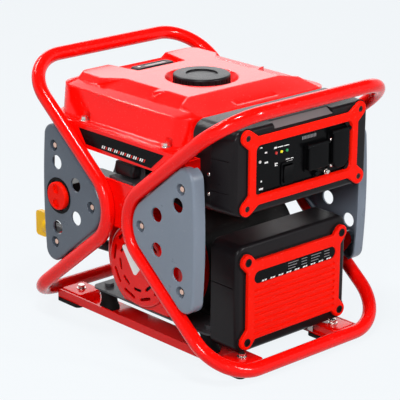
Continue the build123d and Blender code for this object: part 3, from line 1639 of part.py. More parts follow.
filter_left = -140.0
filter_right = -92.0
filter_front = 62.0
filter_rear = 148.0
with BuildPart() as air_filter:
    with BuildSketch(Plane.XY.offset(filter_bottom)):
        with Locations(((filter_left + filter_right) / 2, (filter_front + filter_rear) / 2)):
            RectangleRounded(filter_right - filter_left, filter_rear - filter_front, 12)
    extrude(amount=filter_top - filter_bottom)
    fillet(air_filter.faces().sort_by(Axis.Z)[-1].edges(), 5)
    with BuildSketch(Plane.XY.offset(filter_bottom + 14)):
        with Locations(((filter_left + filter_right) / 2, (filter_front + filter_rear) / 2)):
            RectangleRounded(filter_right - filter_left + 5, filter_rear - filter_front + 5, 14)
    extrude(amount=4)
save(air_filter, "air_filter")

# ---------------------------------------------------------------- muffler
muffler_bottom = 206.0
muffler_top = 288.0
muffler_left = 62.0
muffler_right = 146.0
muffler_front = 72.0
muffler_rear = 188.0
exhaust_start = cylinder_x + head_half_x
exhaust_x = 86.0
exhaust_y = 138.0
exhaust_z = 188.0
exhaust_radius = 11.0
with BuildPart() as muffler:
    with BuildLine() as exhaust_path:
        draw_bent_path(
            [
                (exhaust_start, exhaust_y, exhaust_z),
                (exhaust_x, exhaust_y, exhaust_z),
                (exhaust_x, exhaust_y, muffler_bottom + 25),
            ],
            [16],
        )
    with BuildSketch(Plane(origin=(exhaust_start, exhaust_y, exhaust_z), z_dir=(1, 0, 0))):
        Circle(exhaust_radius)
    sweep(path=exhaust_path.wires()[0])
    with BuildSketch(Plane.YZ.offset(exhaust_start)):
        with Locations((exhaust_y, exhaust_z)):
            RectangleRounded(44, 34, 8)
    extrude(amount=7)
    with BuildSketch(Plane.XZ.offset(-muffler_rear)):
        with Locations(((muffler_left + muffler_right) / 2, (muffler_bottom + muffler_top) / 2)):
            RectangleRounded(muffler_right - muffler_left, muffler_top - muffler_bottom, 26)
    extrude(amount=muffler_rear - muffler_front)
    fillet(muffler.faces().sort_by(Axis.Y)[-1].edges(), 6)
    with BuildSketch(Plane.YZ.offset(muffler_right)):
        with Locations((150, 250)):
            Circle(11)
            Circle(8, mode=Mode.SUBTRACT)
    extrude(amount=14)
save(muffler, "muffler")

# ---------------------------------------------------------------- alternator
stator_left = 62.0
stator_right = 108.0
stator_bore = 50.0
air_gap = 0.4
winding_inner = 56.0
winding_outer = 68.0
winding_overhang = 8.0
rotor_radius = stator_bore - air_gap
rotor_overhang = 2.0
rotor_hole_ring = 32.0
rotor_hole = 7.0
alternator_wall = 4.0
alternator_fillet = 8.0
alternator_vents = 16
vent_ring = 46.0
vent_length = 30.0
vent_width = 5.0
end_boss_radius = 24.0
end_boss = 4.0
with BuildPart() as alternator_stator:
    with BuildSketch(Plane.YZ.offset(stator_left)):
        with Locations((0, crank_height)):
            Circle(alternator_radius - alternator_wall)
            Circle(stator_bore, mode=Mode.SUBTRACT)
    extrude(amount=stator_right - stator_left)
    for face, outward in ((stator_left, -1), (stator_right, 1)):
        with BuildSketch(Plane.YZ.offset(face)):
            with Locations((0, crank_height)):
                Circle(winding_outer)
                Circle(winding_inner, mode=Mode.SUBTRACT)
        extrude(amount=outward * winding_overhang)
save(alternator_stator, "alternator_stator")

with BuildPart() as alternator_rotor:
    with BuildSketch(Plane.YZ.offset(stator_left - rotor_overhang)):
        with Locations((0, crank_height)):
            Circle(rotor_radius)
            Circle(shaft_radius, mode=Mode.SUBTRACT)
            with PolarLocations(rotor_hole_ring, 6):
                Circle(rotor_hole, mode=Mode.SUBTRACT)
    extrude(amount=stator_right - stator_left + 2 * rotor_overhang)
save(alternator_rotor, "alternator_rotor")

with BuildPart() as alternator_housing:
    with BuildSketch(Plane.YZ.offset(crankcase_right)):
        with Locations((0, crank_height)):
            Circle(alternator_radius)
    extrude(amount=alternator_end - crankcase_right)
    fillet(alternator_housing.faces().sort_by(Axis.X)[-1].edges(), alternator_fillet)
    with BuildSketch(Plane.YZ.offset(crankcase_right)):
        with Locations((0, crank_height)):
            Circle(alternator_radius - alternator_wall)
    extrude(amount=alternator_end - crankcase_right - alternator_wall, mode=Mode.SUBTRACT)
    with BuildSketch(Plane.YZ.offset(alternator_end)):
        with Locations((0, crank_height)):
            Circle(end_boss_radius)
    extrude(amount=end_boss)
    with BuildSketch(Plane.YZ.offset(crankcase_right)):
        with Locations((0, crank_height)):
            Circle(shaft_radius + shaft_fit)
            with PolarLocations(vent_ring, alternator_vents):
                SlotOverall(vent_length, vent_width)
    extrude(amount=alternator_end - crankcase_right + end_boss, mode=Mode.SUBTRACT)
save(alternator_housing, "alternator_housing")

# ---------------------------------------------------------------- oil filler
dipstick_x = -150.0
dipstick_z = 137.0
filler_mouth = 205.0
filler_bore = 6.5
with BuildPart() as oil_filler_tube:
    with BuildLine() as filler_path:
        draw_bent_path(
            [
                (filler_x, crankcase_half_y, filler_z),
                (filler_x, 125, filler_z),
                (dipstick_x, 155, dipstick_z),
                (dipstick_x, filler_mouth, dipstick_z),
            ],
            [22, 22],
        )
    with BuildSketch(Plane(origin=(filler_x, crankcase_half_y, filler_z), z_dir=(0, 1, 0))):
        Circle(filler_radius)
        Circle(filler_bore, mode=Mode.SUBTRACT)
    sweep(path=filler_path.wires()[0])
    with BuildSketch(Plane.XZ.offset(-filler_mouth)):
        with Locations((dipstick_x, dipstick_z)):
            Circle(filler_radius + 2.5)
            Circle(filler_bore, mode=Mode.SUBTRACT)
    extrude(amount=10)
save(oil_filler_tube, "oil_filler_tube")

paddle_reach = 33.0
paddle_half_z = 21.0
paddle_plate = 8.0
with BuildPart() as oil_dipstick:
    with BuildSketch(Plane.XZ.offset(-filler_mouth)):
        with Locations((dipstick_x, dipstick_z)):
            Circle(filler_radius + 4)
    extrude(amount=-8)
    with BuildSketch(Plane.XZ.offset(-filler_mouth)):
        with Locations((dipstick_x, dipstick_z)):
            Circle(2.5)
    extrude(amount=38)
    with BuildSketch(Plane.YZ.offset(dipstick_x - paddle_plate / 2)):
        with Locations((filler_mouth + 8 + (paddle_reach - 8) / 2, dipstick_z)):
            RectangleRounded(paddle_reach - 8 + 2, 2 * paddle_half_z, 6)
    extrude(amount=paddle_plate)
save(oil_dipstick, "oil_dipstick")

# ---------------------------------------------------------------- engine switch
switch_flange_radius = 32.0
switch_flange = 3.0
switch_box = 20.0
switch_depth = 34.0
knob_radius = 22.5
knob_front = -half_width - tube_radius
knob_shaft_radius = 5.0
panel_inner = -panel_face + panel_wall
with BuildPart() as engine_switch:
    with BuildSketch(Plane.YZ.offset(panel_inner)):
        with Locations((knob_y, waist_height)):
            Circle(switch_flange_radius)
    extrude(amount=switch_flange)
    with BuildSketch(Plane.YZ.offset(panel_inner)):
        with Locations((knob_y, waist_height)):
            RectangleRounded(2 * switch_box, 2 * switch_box, 4)
    extrude(amount=switch_depth)
    with BuildSketch(Plane.YZ.offset(panel_inner)):
        with Locations((knob_y, waist_height)):
            Circle(knob_shaft_radius + shaft_fit)
    extrude(amount=24, mode=Mode.SUBTRACT)
save(engine_switch, "engine_switch")

with BuildPart() as switch_knob:
    with BuildSketch(Plane.YZ.offset(knob_front)):
        with Locations((knob_y, waist_height)):
            Circle(knob_radius)
    extrude(amount=panel_inner - running_gap - knob_front)
    fillet(switch_knob.faces().sort_by(Axis.X)[0].edges(), 2)
    with BuildSketch(Plane.YZ.offset(knob_front)):
        with Locations((knob_y, waist_height + 12), (knob_y, waist_height - 12)):
            Circle(7.5)
    extrude(amount=5, mode=Mode.SUBTRACT)
    with BuildSketch(Plane.YZ.offset(panel_inner - running_gap)):
        with Locations((knob_y, waist_height)):
            Circle(knob_shaft_radius)
    extrude(amount=22)
save(switch_knob, "switch_knob")
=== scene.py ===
# %% [markdown]
# # A portable generator, dressed in Blender
# The frame of bent tubes, the tank, the housings and the engine already exist as
# exact solids. They are loaded as a fixed frame, in metres, and nothing here moves
# them. This file gives them paint, plastic, rubber and metal, adds the pieces that
# solids don't carry well, and sets up the light and the camera.

import bmesh
import bpy
import numpy as np
from mathutils import Matrix, Vector


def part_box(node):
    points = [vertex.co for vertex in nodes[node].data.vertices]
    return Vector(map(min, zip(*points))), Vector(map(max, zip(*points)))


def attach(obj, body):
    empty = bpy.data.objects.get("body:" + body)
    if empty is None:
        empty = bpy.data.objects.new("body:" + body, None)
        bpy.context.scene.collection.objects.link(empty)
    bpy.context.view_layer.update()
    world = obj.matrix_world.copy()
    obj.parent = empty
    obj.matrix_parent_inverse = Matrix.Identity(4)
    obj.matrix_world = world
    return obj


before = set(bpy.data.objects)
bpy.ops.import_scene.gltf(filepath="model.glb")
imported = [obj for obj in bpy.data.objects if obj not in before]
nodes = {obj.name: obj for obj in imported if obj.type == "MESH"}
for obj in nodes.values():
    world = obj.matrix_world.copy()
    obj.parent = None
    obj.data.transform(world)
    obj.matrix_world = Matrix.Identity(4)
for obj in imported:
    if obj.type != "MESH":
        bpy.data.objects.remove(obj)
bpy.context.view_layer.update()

MM = 0.001

# %% [markdown]
# ## The camera
# A long lens stands about three metres away, to the front left and a little above.
# Its place and its slight roll are given as numbers, and its turn is built from the
# direction that it looks along, so that every other part of this file can use plain
# axes of the machine.

# %% Camera
AZIMUTH = np.radians(-43.01)
ELEVATION = np.radians(18.65)
ROLL = 0.00764
LENS = 164.8
SENSOR = 36.0
CAMERA_PLACE = (-1.8855, -2.0094, 1.1296)


def camera_turn(azimuth, elevation, roll):
    """Columns are right, up and back: back points from the object to the camera."""
    back = np.array([np.sin(azimuth) * np.cos(elevation),
                     -np.cos(azimuth) * np.cos(elevation), np.sin(elevation)])
    right = np.cross([0.0, 0.0, 1.0], back)
    right /= np.linalg.norm(right)
    up = np.cross(back, right)
    turned_right = right + roll * up
    turned_right /= np.linalg.norm(turned_right)
    turned_up = np.cross(back, turned_right)
    return np.column_stack([turned_right, turned_up, back])


camera_data = bpy.data.cameras.new("photo_camera")
camera_data.lens = LENS
camera_data.sensor_width = SENSOR
camera_data.sensor_fit = "HORIZONTAL"
camera_data.clip_end = 60
camera = bpy.data.objects.new("photo_camera", camera_data)
turn = camera_turn(AZIMUTH, ELEVATION, ROLL)
camera.matrix_world = Matrix.Translation(CAMERA_PLACE) @ Matrix(turn.tolist()).to_4x4()
bpy.context.scene.collection.objects.link(camera)
bpy.context.scene.camera = camera
print("camera looks along", [round(float(v), 3) for v in -turn[:, 2]])

# %% [markdown]
# ## Studio light
# Gloss paint shows what stands around it. Small, strong lamps stand above, in front
# and to the left, because a small lamp leaves a crisp glint on a round tube and the
# rest of the paint keeps its full colour. A wide, low panel behind the machine is what
# the tank's level top mirrors.
#
# Everything that is seen past the object, directly or in a reflection, is a pale
# backdrop that darkens overhead. Light Path decides that: camera, glossy and
# transmission rays see the backdrop, and all other rays get a weak, even light.

# %% Lamps


def aim(place, target):
    """A turn whose -Z axis points from place to target."""
    return (Vector(target) - Vector(place)).to_track_quat("-Z", "Y")


def soft_lamp(name, place, target, size, power):
    """A rectangular area lamp, aimed at a point of the object; power is in watts."""
    data = bpy.data.lights.new(name, "AREA")
    data.shape = "RECTANGLE"
    data.size, data.size_y = size
    data.energy = power
    lamp = bpy.data.objects.new(name, data)
    lamp.location = place
    lamp.rotation_euler = aim(place, target).to_euler()
    bpy.context.scene.collection.objects.link(lamp)
    return lamp


soft_lamp("top_strip", (-0.4, -0.3, 2.0), (0, 0, 0.3), (0.30, 0.30), 29)
soft_lamp("front_strip", (0.9, -2.2, 1.3), (0, -0.1, 0.25), (0.28, 0.7), 34)
soft_lamp("left_strip", (-1.55, -1.15, 1.15), (0, -0.05, 0.2), (0.26, 0.7), 28)
# The tank's level top faces mirror what stands behind the machine, low down.
back_panel = soft_lamp("back_panel", (1.94, 2.08, 1.30), (0, 0, 0.38), (2.6, 1.1), 15)
back_panel.data.diffuse_factor = 0.15
back_panel.visible_camera = False
# The edges that run along the machine glint from a narrow lamp high at the back.
edge_strip = soft_lamp("edge_strip", (-0.2, 1.6, 1.9), (0, 0, 0.35), (1.2, 0.14), 26)
edge_strip.data.diffuse_factor = 0.15
print("lamps:", [light.name for light in bpy.data.lights])

# %% Which rays see the backdrop


def ray_mask(tree, kinds):
    """Adds up Light Path outputs, clamped to 1: 1 for the rays named, 0 for the rest."""
    path = tree.nodes.new("ShaderNodeLightPath")
    total = None
    for kind in kinds:
        if total is None:
            total = path.outputs[kind]
            continue
        add = tree.nodes.new("ShaderNodeMath")
        add.operation = "ADD"
        add.use_clamp = True
        tree.links.new(total, add.inputs[0])
        tree.links.new(path.outputs[kind], add.inputs[1])
        total = add.outputs[0]
    return total


SEEN_RAYS = ("Is Camera Ray", "Is Glossy Ray", "Is Transmission Ray")
print("the backdrop is seen by:", SEEN_RAYS)

# %% World
BACKDROP = (0.896, 0.930, 0.956)
OVERHEAD = (0.10, 0.10, 0.11)
PALE_BELOW = np.radians(24)       # how high the pale part of the sky reaches
DARK_ABOVE = np.radians(36)
FILL_LIGHT = 0.07
world = bpy.data.worlds.new("studio")
bpy.context.scene.world = world
world.use_nodes = True
tree = world.node_tree
tree.nodes.clear()
output = tree.nodes.new("ShaderNodeOutputWorld")
seen = tree.nodes.new("ShaderNodeBackground")
seen.inputs["Strength"].default_value = 1.0
direction = tree.nodes.new("ShaderNodeTexCoord")
split = tree.nodes.new("ShaderNodeSeparateXYZ")
tree.links.new(direction.outputs["Generated"], split.inputs[0])
rise = tree.nodes.new("ShaderNodeMapRange")
rise.interpolation_type = "SMOOTHSTEP"
rise.inputs["From Min"].default_value = np.sin(PALE_BELOW)
rise.inputs["From Max"].default_value = np.sin(DARK_ABOVE)
tree.links.new(split.outputs["Z"], rise.inputs["Value"])
sky = tree.nodes.new("ShaderNodeMix")
sky.data_type = "RGBA"
sky.inputs[6].default_value = (*BACKDROP, 1)
sky.inputs[7].default_value = (*OVERHEAD, 1)
tree.links.new(rise.outputs[0], sky.inputs[0])
tree.links.new(sky.outputs[2], seen.inputs["Color"])
fill = tree.nodes.new("ShaderNodeBackground")
fill.inputs["Color"].default_value = (1, 1, 1, 1)
fill.inputs["Strength"].default_value = FILL_LIGHT
mix = tree.nodes.new("ShaderNodeMixShader")
tree.links.new(ray_mask(tree, SEEN_RAYS), mix.inputs[0])
tree.links.new(fill.outputs[0], mix.inputs[1])
tree.links.new(seen.outputs[0], mix.inputs[2])
tree.links.new(mix.outputs[0], output.inputs["Surface"])
bpy.context.scene.view_settings.view_transform = "Standard"
print("sky: pale near the horizon, dark overhead, fill light", FILL_LIGHT)

# %% [markdown]
# ## The floor
# The floor is a wide plane. Its own colour under the lamps would show a horizon, so
# its material mixes in the backdrop's colour for camera rays, and keeps part of the
# plain surface, which carries the soft contact shadow.

# %% Grid surfaces


def grid_mesh(name, points, closed_u=False, closed_v=False):
    """Makes a mesh from an array of points (rows, columns, 3), joined as quads.

    Row i and column j give the corner i * columns + j. A closed direction joins its
    last line back to its first.
    """
    points = np.asarray(points, float)
    rows, columns = points.shape[:2]
    index = np.arange(rows * columns).reshape(rows, columns)
    if closed_u:
        index = np.vstack([index, index[:1]])
    if closed_v:
        index = np.hstack([index, index[:, :1]])
    quads = np.stack([index[:-1, :-1], index[:-1, 1:], index[1:, 1:], index[1:, :-1]], -1)
    mesh = bpy.data.meshes.new(name)
    mesh.from_pydata(points.reshape(-1, 3).tolist(), [], quads.reshape(-1, 4).tolist())
    mesh.update()
    return mesh


def add_piece(name, mesh):
    """Links a mesh as an object at the origin."""
    piece = bpy.data.objects.new(name, mesh)
    bpy.context.scene.collection.objects.link(piece)
    return piece


print("meshes before the floor:", len(bpy.data.meshes))

# %% Floor
FLOOR_REACH = 6.0
PAPER = (0.40, 0.42, 0.43)
GLOW_SHARE = 0.90             # what is left is plain paper, and carries the shadow
GLOW_LIFT = 1.055             # makes up for the paper's own, darker share
span = np.linspace(-FLOOR_REACH, FLOOR_REACH, 3)
floor_x, floor_y = np.meshgrid(span, span)
floor = add_piece("floor", grid_mesh("floor", np.stack([floor_x.T, floor_y.T,
                                                        np.zeros_like(floor_x)], -1)))
floor_material = bpy.data.materials.new("floor_paper")
floor_material.use_nodes = True
tree = floor_material.node_tree
paper = tree.nodes["Principled BSDF"]
paper.inputs["Roughness"].default_value = 0.9
paper.inputs["Base Color"].default_value = (*PAPER, 1)
paper.inputs["Specular IOR Level"].default_value = 0.1
glow = tree.nodes.new("ShaderNodeEmission")
glow.inputs["Color"].default_value = (*(np.array(BACKDROP) * GLOW_LIFT), 1)
mix = tree.nodes.new("ShaderNodeMixShader")
dim = tree.nodes.new("ShaderNodeMath")
dim.operation = "MULTIPLY"
dim.inputs[1].default_value = GLOW_SHARE
tree.links.new(ray_mask(tree, SEEN_RAYS), dim.inputs[0])
tree.links.new(dim.outputs[0], mix.inputs[0])
tree.links.new(paper.outputs[0], mix.inputs[1])
tree.links.new(glow.outputs[0], mix.inputs[2])
tree.links.new(mix.outputs[0], tree.nodes["Material Output"].inputs["Surface"])
floor.data.materials.append(floor_material)
print("floor reaches", FLOOR_REACH, "m each way")

# %% [markdown]
# ## Shared effects
# Paint, plastic and metal all need the same few things: a colour that isn't quite
# even, a sheen that varies where hands and dust have been, and a fine relief. Each is
# a node group with named sockets, so that a material only says how much of it it has.

# %% Helpers for nodes


def new_group(name, inputs, outputs):
    """An empty shader group: inputs are (name, kind, default), outputs (name, kind)."""
    group = bpy.data.node_groups.new(name, "ShaderNodeTree")
    for label, kind, default in inputs:
        socket = group.interface.new_socket(label, in_out="INPUT", socket_type=kind)
        socket.default_value = default
    for label, kind in outputs:
        group.interface.new_socket(label, in_out="OUTPUT", socket_type=kind)
    start = group.nodes.new("NodeGroupInput")
    end = group.nodes.new("NodeGroupOutput")
    return group, start, end


def math_node(tree, operation, a, b, clamp=False):
    """Joins two values, each a socket or a number, by one operation."""
    node = tree.nodes.new("ShaderNodeMath")
    node.operation = operation
    node.use_clamp = clamp
    for socket, value in zip(node.inputs, (a, b)):
        if isinstance(value, (int, float)):
            socket.default_value = value
        else:
            tree.links.new(value, socket)
    return node.outputs[0]


def noise_node(tree, coordinates, scale, detail=4.0, roughness=0.5):
    """Noise on the given coordinates; scale may be a socket or a number per metre."""
    node = tree.nodes.new("ShaderNodeTexNoise")
    node.inputs["Detail"].default_value = detail
    node.inputs["Roughness"].default_value = roughness
    tree.links.new(coordinates, node.inputs["Vector"])
    if isinstance(scale, (int, float)):
        node.inputs["Scale"].default_value = scale
    else:
        tree.links.new(scale, node.inputs["Scale"])
    return node.outputs["Fac"]


def mix_colour(tree, factor, first, second):
    """Blends two colours; each may be a socket or a plain colour."""
    node = tree.nodes.new("ShaderNodeMix")
    node.data_type = "RGBA"
    for socket, value in ((node.inputs[0], factor), (node.inputs[6], first),
                          (node.inputs[7], second)):
        if isinstance(value, (int, float)):
            socket.default_value = value
        elif isinstance(value, tuple):
            socket.default_value = (*value[:3], 1)
        else:
            tree.links.new(value, socket)
    return node.outputs[2]


FLOAT, COLOUR, VECTOR = "NodeSocketFloat", "NodeSocketColor", "NodeSocketVector"
print("socket kinds:", FLOAT, COLOUR, VECTOR)

# %% Uneven colour
# Large soft clouds blend the colour and a darker one, and pale dust lies in specks.
group, start, end = new_group(
    "uneven_colour",
    [("Vector", VECTOR, (0, 0, 0)), ("Colour", COLOUR, (0.5, 0.5, 0.5, 1)),
     ("Dark", COLOUR, (0.3, 0.3, 0.3, 1)), ("Cloud Scale", FLOAT, 9.0),
     ("Dust", FLOAT, 0.1)],
    [("Colour", COLOUR), ("Clouds", FLOAT)],
)
clouds = noise_node(group, start.outputs["Vector"], start.outputs["Cloud Scale"], 5.0)
specks = noise_node(group, start.outputs["Vector"], 260.0, 2.0, 0.7)
dust = math_node(group, "GREATER_THAN", specks, 0.66)
dust = math_node(group, "MULTIPLY", dust, start.outputs["Dust"])
shade = mix_colour(group, clouds, start.outputs["Dark"], start.outputs["Colour"])
shade = mix_colour(group, dust, shade, (0.55, 0.53, 0.50))
group.links.new(shade, end.inputs["Colour"])
group.links.new(clouds, end.inputs["Clouds"])
uneven_colour = group
print("made", group.name)

# %% Handled sheen
# A roughness that wanders in patches between two values.
group, start, end = new_group(
    "handled_sheen",
    [("Vector", VECTOR, (0, 0, 0)), ("Smooth", FLOAT, 0.2), ("Rough", FLOAT, 0.35),
     ("Scale", FLOAT, 30.0)],
    [("Roughness", FLOAT)],
)
patches = noise_node(group, start.outputs["Vector"], start.outputs["Scale"], 6.0, 0.6)
reach = math_node(group, "SUBTRACT", start.outputs["Rough"], start.outputs["Smooth"])
wander = math_node(group, "MULTIPLY", patches, reach)
wander = math_node(group, "ADD", wander, start.outputs["Smooth"], True)
group.links.new(wander, end.inputs["Roughness"])
handled_sheen = group
print("made", group.name)

# %% Fine relief
# The height of orange peel, moulded grain or a cast skin: noise and small cells.
group, start, end = new_group(
    "fine_relief",
    [("Vector", VECTOR, (0, 0, 0)), ("Scale", FLOAT, 400.0), ("Sharpness", FLOAT, 0.5)],
    [("Height", FLOAT)],
)
grain = noise_node(group, start.outputs["Vector"], start.outputs["Scale"], 3.0)
cells = group.nodes.new("ShaderNodeTexVoronoi")
group.links.new(start.outputs["Vector"], cells.inputs["Vector"])
group.links.new(start.outputs["Scale"], cells.inputs["Scale"])
sharp = math_node(group, "MULTIPLY", cells.outputs["Distance"], start.outputs["Sharpness"])
height = math_node(group, "ADD", grain, sharp)
group.links.new(height, end.inputs["Height"])
fine_relief = group
print("made", group.name)

# %% [markdown]
# ## Finishes
# One function lays out a material: object coordinates feed the three groups, and the
# groups feed the Principled shader. What is the same all over a finish, such as its
# mirror level or its metal, is set on the shader itself.

# %% Finish builder


def finish(name, colour, dark, smooth, rough, metallic=0.0, cloud_scale=9.0, dust=0.05,
           relief_scale=500.0, relief=0.02, sharpness=0.4, shine=0.5, soft_edge=0.0):
    """A full surface finish.

    The surface wanders between colour and dark, and between smooth and rough. Relief is
    the bump's strength, scales are per metre, shine is the mirror level at right
    angles, and soft_edge is the radius in metres that sharp edges look rounded to.
    """
    material = bpy.data.materials.new(name)
    material.use_nodes = True
    tree = material.node_tree
    shader = tree.nodes["Principled BSDF"]
    place = tree.nodes.new("ShaderNodeTexCoord").outputs["Object"]

    def use(group, **values):
        node = tree.nodes.new("ShaderNodeGroup")
        node.node_tree = group
        tree.links.new(place, node.inputs["Vector"])
        for label, value in values.items():
            node.inputs[label.replace("_", " ")].default_value = value
        return node

    tint = use(uneven_colour, Colour=(*colour, 1), Dark=(*dark, 1), Cloud_Scale=cloud_scale,
               Dust=dust)
    sheen = use(handled_sheen, Smooth=smooth, Rough=rough)
    skin = use(fine_relief, Scale=relief_scale, Sharpness=sharpness)
    bump = tree.nodes.new("ShaderNodeBump")
    bump.inputs["Strength"].default_value = relief
    bump.inputs["Distance"].default_value = 0.001
    tree.links.new(skin.outputs["Height"], bump.inputs["Height"])
    if soft_edge:
        rounded = tree.nodes.new("ShaderNodeBevel")
        rounded.samples = 4
        rounded.inputs["Radius"].default_value = soft_edge
        tree.links.new(rounded.outputs["Normal"], bump.inputs["Normal"])
    tree.links.new(tint.outputs["Colour"], shader.inputs["Base Color"])
    tree.links.new(sheen.outputs["Roughness"], shader.inputs["Roughness"])
    tree.links.new(bump.outputs["Normal"], shader.inputs["Normal"])
    shader.inputs["Metallic"].default_value = metallic
    shader.inputs["Specular IOR Level"].default_value = shine
    return material


print("a finish uses:", [group.name for group in bpy.data.node_groups])

# %% [markdown]
# ## Paint
# The frame and the tank have nearly the same thick gloss enamel. A mirror level below
# the usual half keeps the red pure, because a stronger one would lay the pale backdrop
# over it. The tank is pressed sheet, so its creases look rounded to a few millimetres.

# %% Paints
red_paint = finish("red_gloss_paint", (0.90, 0.003, 0.001), (0.72, 0.002, 0.001), 0.10, 0.16,
                   relief_scale=220.0, relief=0.03, shine=0.20)
tank_paint = finish("red_tank_paint", (0.93, 0.003, 0.001), (0.79, 0.002, 0.001), 0.12, 0.18,
                    relief_scale=180.0, relief=0.03, shine=0.24, soft_edge=0.0045)
print("paints:", red_paint.name, tank_paint.name)

# %% [markdown]
# ## Plastic and rubber
# The covers are moulded: a fine grain, a duller sheen and small rounded edges. The rear
# side panels are the same grey plastic, painted darker as painted shade. The metal inside
# the machine is painted near black as painted shade, so that the gaps between the housings
# stay deep, and rubber takes almost no light.

# %% Plastics and rubber
red_plastic = finish("red_moulded_plastic", (0.96, 0.009, 0.001), (0.83, 0.006, 0.001),
                     0.30, 0.42, relief_scale=900.0, relief=0.05, shine=0.07,
                     soft_edge=0.0008)
grey_plastic = finish("grey_moulded_plastic", (0.180, 0.212, 0.262), (0.135, 0.162, 0.205),
                      0.24, 0.34, relief_scale=800.0, relief=0.04, shine=0.4,
                      soft_edge=0.0010)
# The rear side panels are the same plastic as the front ones; this darker grey is painted shade.
painted_shade_grey_plastic = finish("painted_shade_grey_plastic", (0.092, 0.112, 0.142), (0.066, 0.082, 0.108),
                           0.24, 0.34, relief_scale=800.0, relief=0.04, shine=0.4,
                           soft_edge=0.0010)
black_plastic = finish("black_textured_plastic", (0.009, 0.007, 0.008), (0.004, 0.003, 0.004),
                       0.24, 0.36, relief_scale=1100.0, relief=0.10, sharpness=1.0, shine=0.13,
                       soft_edge=0.0015, dust=0.004)
black_gloss = finish("black_gloss_plastic", (0.003, 0.003, 0.004), (0.002, 0.002, 0.002),
                     0.20, 0.32, relief_scale=700.0, relief=0.02, shine=0.06, dust=0.0)
# Painted shade: the crankcase, the alternator's housing and the inverter's module are near black,
# so the gaps between the housings look deep.
painted_shade_interior = finish("interior_painted_shade_metal", (0.016, 0.015, 0.015), (0.006, 0.006, 0.006),
                       0.45, 0.65, relief_scale=1400.0, relief=0.30, sharpness=1.0,
                       shine=0.15)
rubber = finish("black_rubber", (0.008, 0.007, 0.007), (0.004, 0.004, 0.004), 0.60, 0.82,
                relief_scale=650.0, relief=0.18, dust=0.01, shine=0.12)
print("finishes so far:", len(bpy.data.materials) - 1)

# %% [markdown]
# ## Metal
# Bare metals are fully or mostly metallic and differ by colour and relief: bright
# plating on the bolts, a pebbled skin on castings, and dark blotches on the hot
# muffler. The engine's cradle has a plain grey paint.

# %% Metals
zinc = finish("zinc_plated_steel", (0.72, 0.66, 0.62), (0.52, 0.46, 0.43), 0.16, 0.34,
              metallic=1.0, relief_scale=900.0, relief=0.08, soft_edge=0.0005)
copper_zinc = finish("yellow_zinc_steel", (0.82, 0.56, 0.46), (0.55, 0.34, 0.27), 0.16, 0.32,
                     metallic=1.0, relief_scale=900.0, relief=0.08, soft_edge=0.0006)
black_steel = finish("blackened_steel", (0.030, 0.024, 0.024), (0.014, 0.011, 0.011), 0.26,
                     0.44, metallic=0.6, relief_scale=900.0, relief=0.06, shine=0.3)
cast_metal = finish("cast_aluminium", (0.34, 0.34, 0.35), (0.20, 0.20, 0.21), 0.38, 0.60,
                    metallic=1.0, relief_scale=1400.0, relief=0.35, sharpness=1.0)
grey_paint = finish("grey_painted_steel", (0.055, 0.055, 0.060), (0.030, 0.030, 0.034), 0.35,
                    0.5, relief_scale=500.0, relief=0.08, shine=0.3)
ground_steel = finish("ground_steel", (0.42, 0.42, 0.43), (0.28, 0.28, 0.29), 0.2, 0.4,
                      metallic=1.0, relief_scale=1200.0, relief=0.06)
hot_steel = finish("heat_darkened_steel", (0.22, 0.19, 0.17), (0.09, 0.08, 0.085), 0.42, 0.66,
                   metallic=0.9, relief_scale=500.0, relief=0.15, cloud_scale=14.0)
copper = finish("enamelled_copper", (0.55, 0.20, 0.08), (0.36, 0.12, 0.05), 0.28, 0.45,
                metallic=0.9, relief_scale=900.0, relief=0.3)
print("finishes so far:", len(bpy.data.materials) - 1)

# %% [markdown]
# ## Nylon, printed films and the dipstick
# Printed marks are thin films of one ink each, almost even in colour. The dipstick's
# handle is yellow, so that it is found at a glance.

# %% Nylon and films
white_plastic = finish("white_nylon", (0.72, 0.72, 0.68), (0.60, 0.60, 0.56), 0.45, 0.6,
                       relief_scale=900.0, relief=0.05)
white_film = finish("white_printed_film", (0.86, 0.85, 0.84), (0.76, 0.75, 0.74), 0.35, 0.5,
                    relief_scale=900.0, relief=0.01, dust=0.02, shine=0.3)
red_film = finish("red_printed_film", (0.72, 0.020, 0.010), (0.60, 0.015, 0.008), 0.35, 0.5,
                  relief_scale=900.0, relief=0.01, dust=0.02, shine=0.3)
grey_film = finish("grey_printed_film", (0.22, 0.21, 0.22), (0.16, 0.15, 0.16), 0.35, 0.5,
                   relief_scale=900.0, relief=0.01, dust=0.02, shine=0.3)
# A paler grey that is a painted highlight on the control housing's sloping upper edge.
edge_highlight_grey = finish("painted_edge_highlight_grey", (0.135, 0.118, 0.120), (0.095, 0.082, 0.084), 0.30, 0.42,
                   relief_scale=900.0, relief=0.08, shine=0.3, dust=0.01)
gauge_film = finish("pale_gauge_window", (0.16, 0.09, 0.09), (0.10, 0.06, 0.06), 0.12, 0.2,
                    relief_scale=300.0, relief=0.01, dust=0.0, shine=0.25)
yellow_plastic = finish("yellow_moulded_plastic", (0.95, 0.56, 0.004), (0.84, 0.46, 0.003),
                        0.28, 0.42, relief_scale=700.0, relief=0.05, shine=0.25)
print("finishes:", len(bpy.data.materials) - 1)

# %% [markdown]
# ## Lamps of the panel
# The four status lamps are one solid group, so one finish colours them by their
# place across the panel: white, red, yellow and green lenses.

# %% Lamp lenses
lamp_lens = finish("status_lens", (0.5, 0.5, 0.5), (0.4, 0.4, 0.4), 0.10, 0.18,
                   relief_scale=400.0, relief=0.02, dust=0.0)
tree = lamp_lens.node_tree
split = tree.nodes.new("ShaderNodeSeparateXYZ")
tree.links.new(tree.nodes["Texture Coordinate"].outputs["Object"], split.inputs[0])
lens_colour = (0.60, 0.60, 0.58)
for border, colour in ((-0.070, (0.50, 0.020, 0.015)), (-0.048, (0.80, 0.70, 0.010)),
                       (-0.037, (0.015, 0.30, 0.090))):
    lens_colour = mix_colour(tree, math_node(tree, "GREATER_THAN", split.outputs["X"], border),
                             lens_colour, colour)
tree.links.new(lens_colour, tree.nodes["Principled BSDF"].inputs["Base Color"])
print("lens colours: white, red, yellow, green")

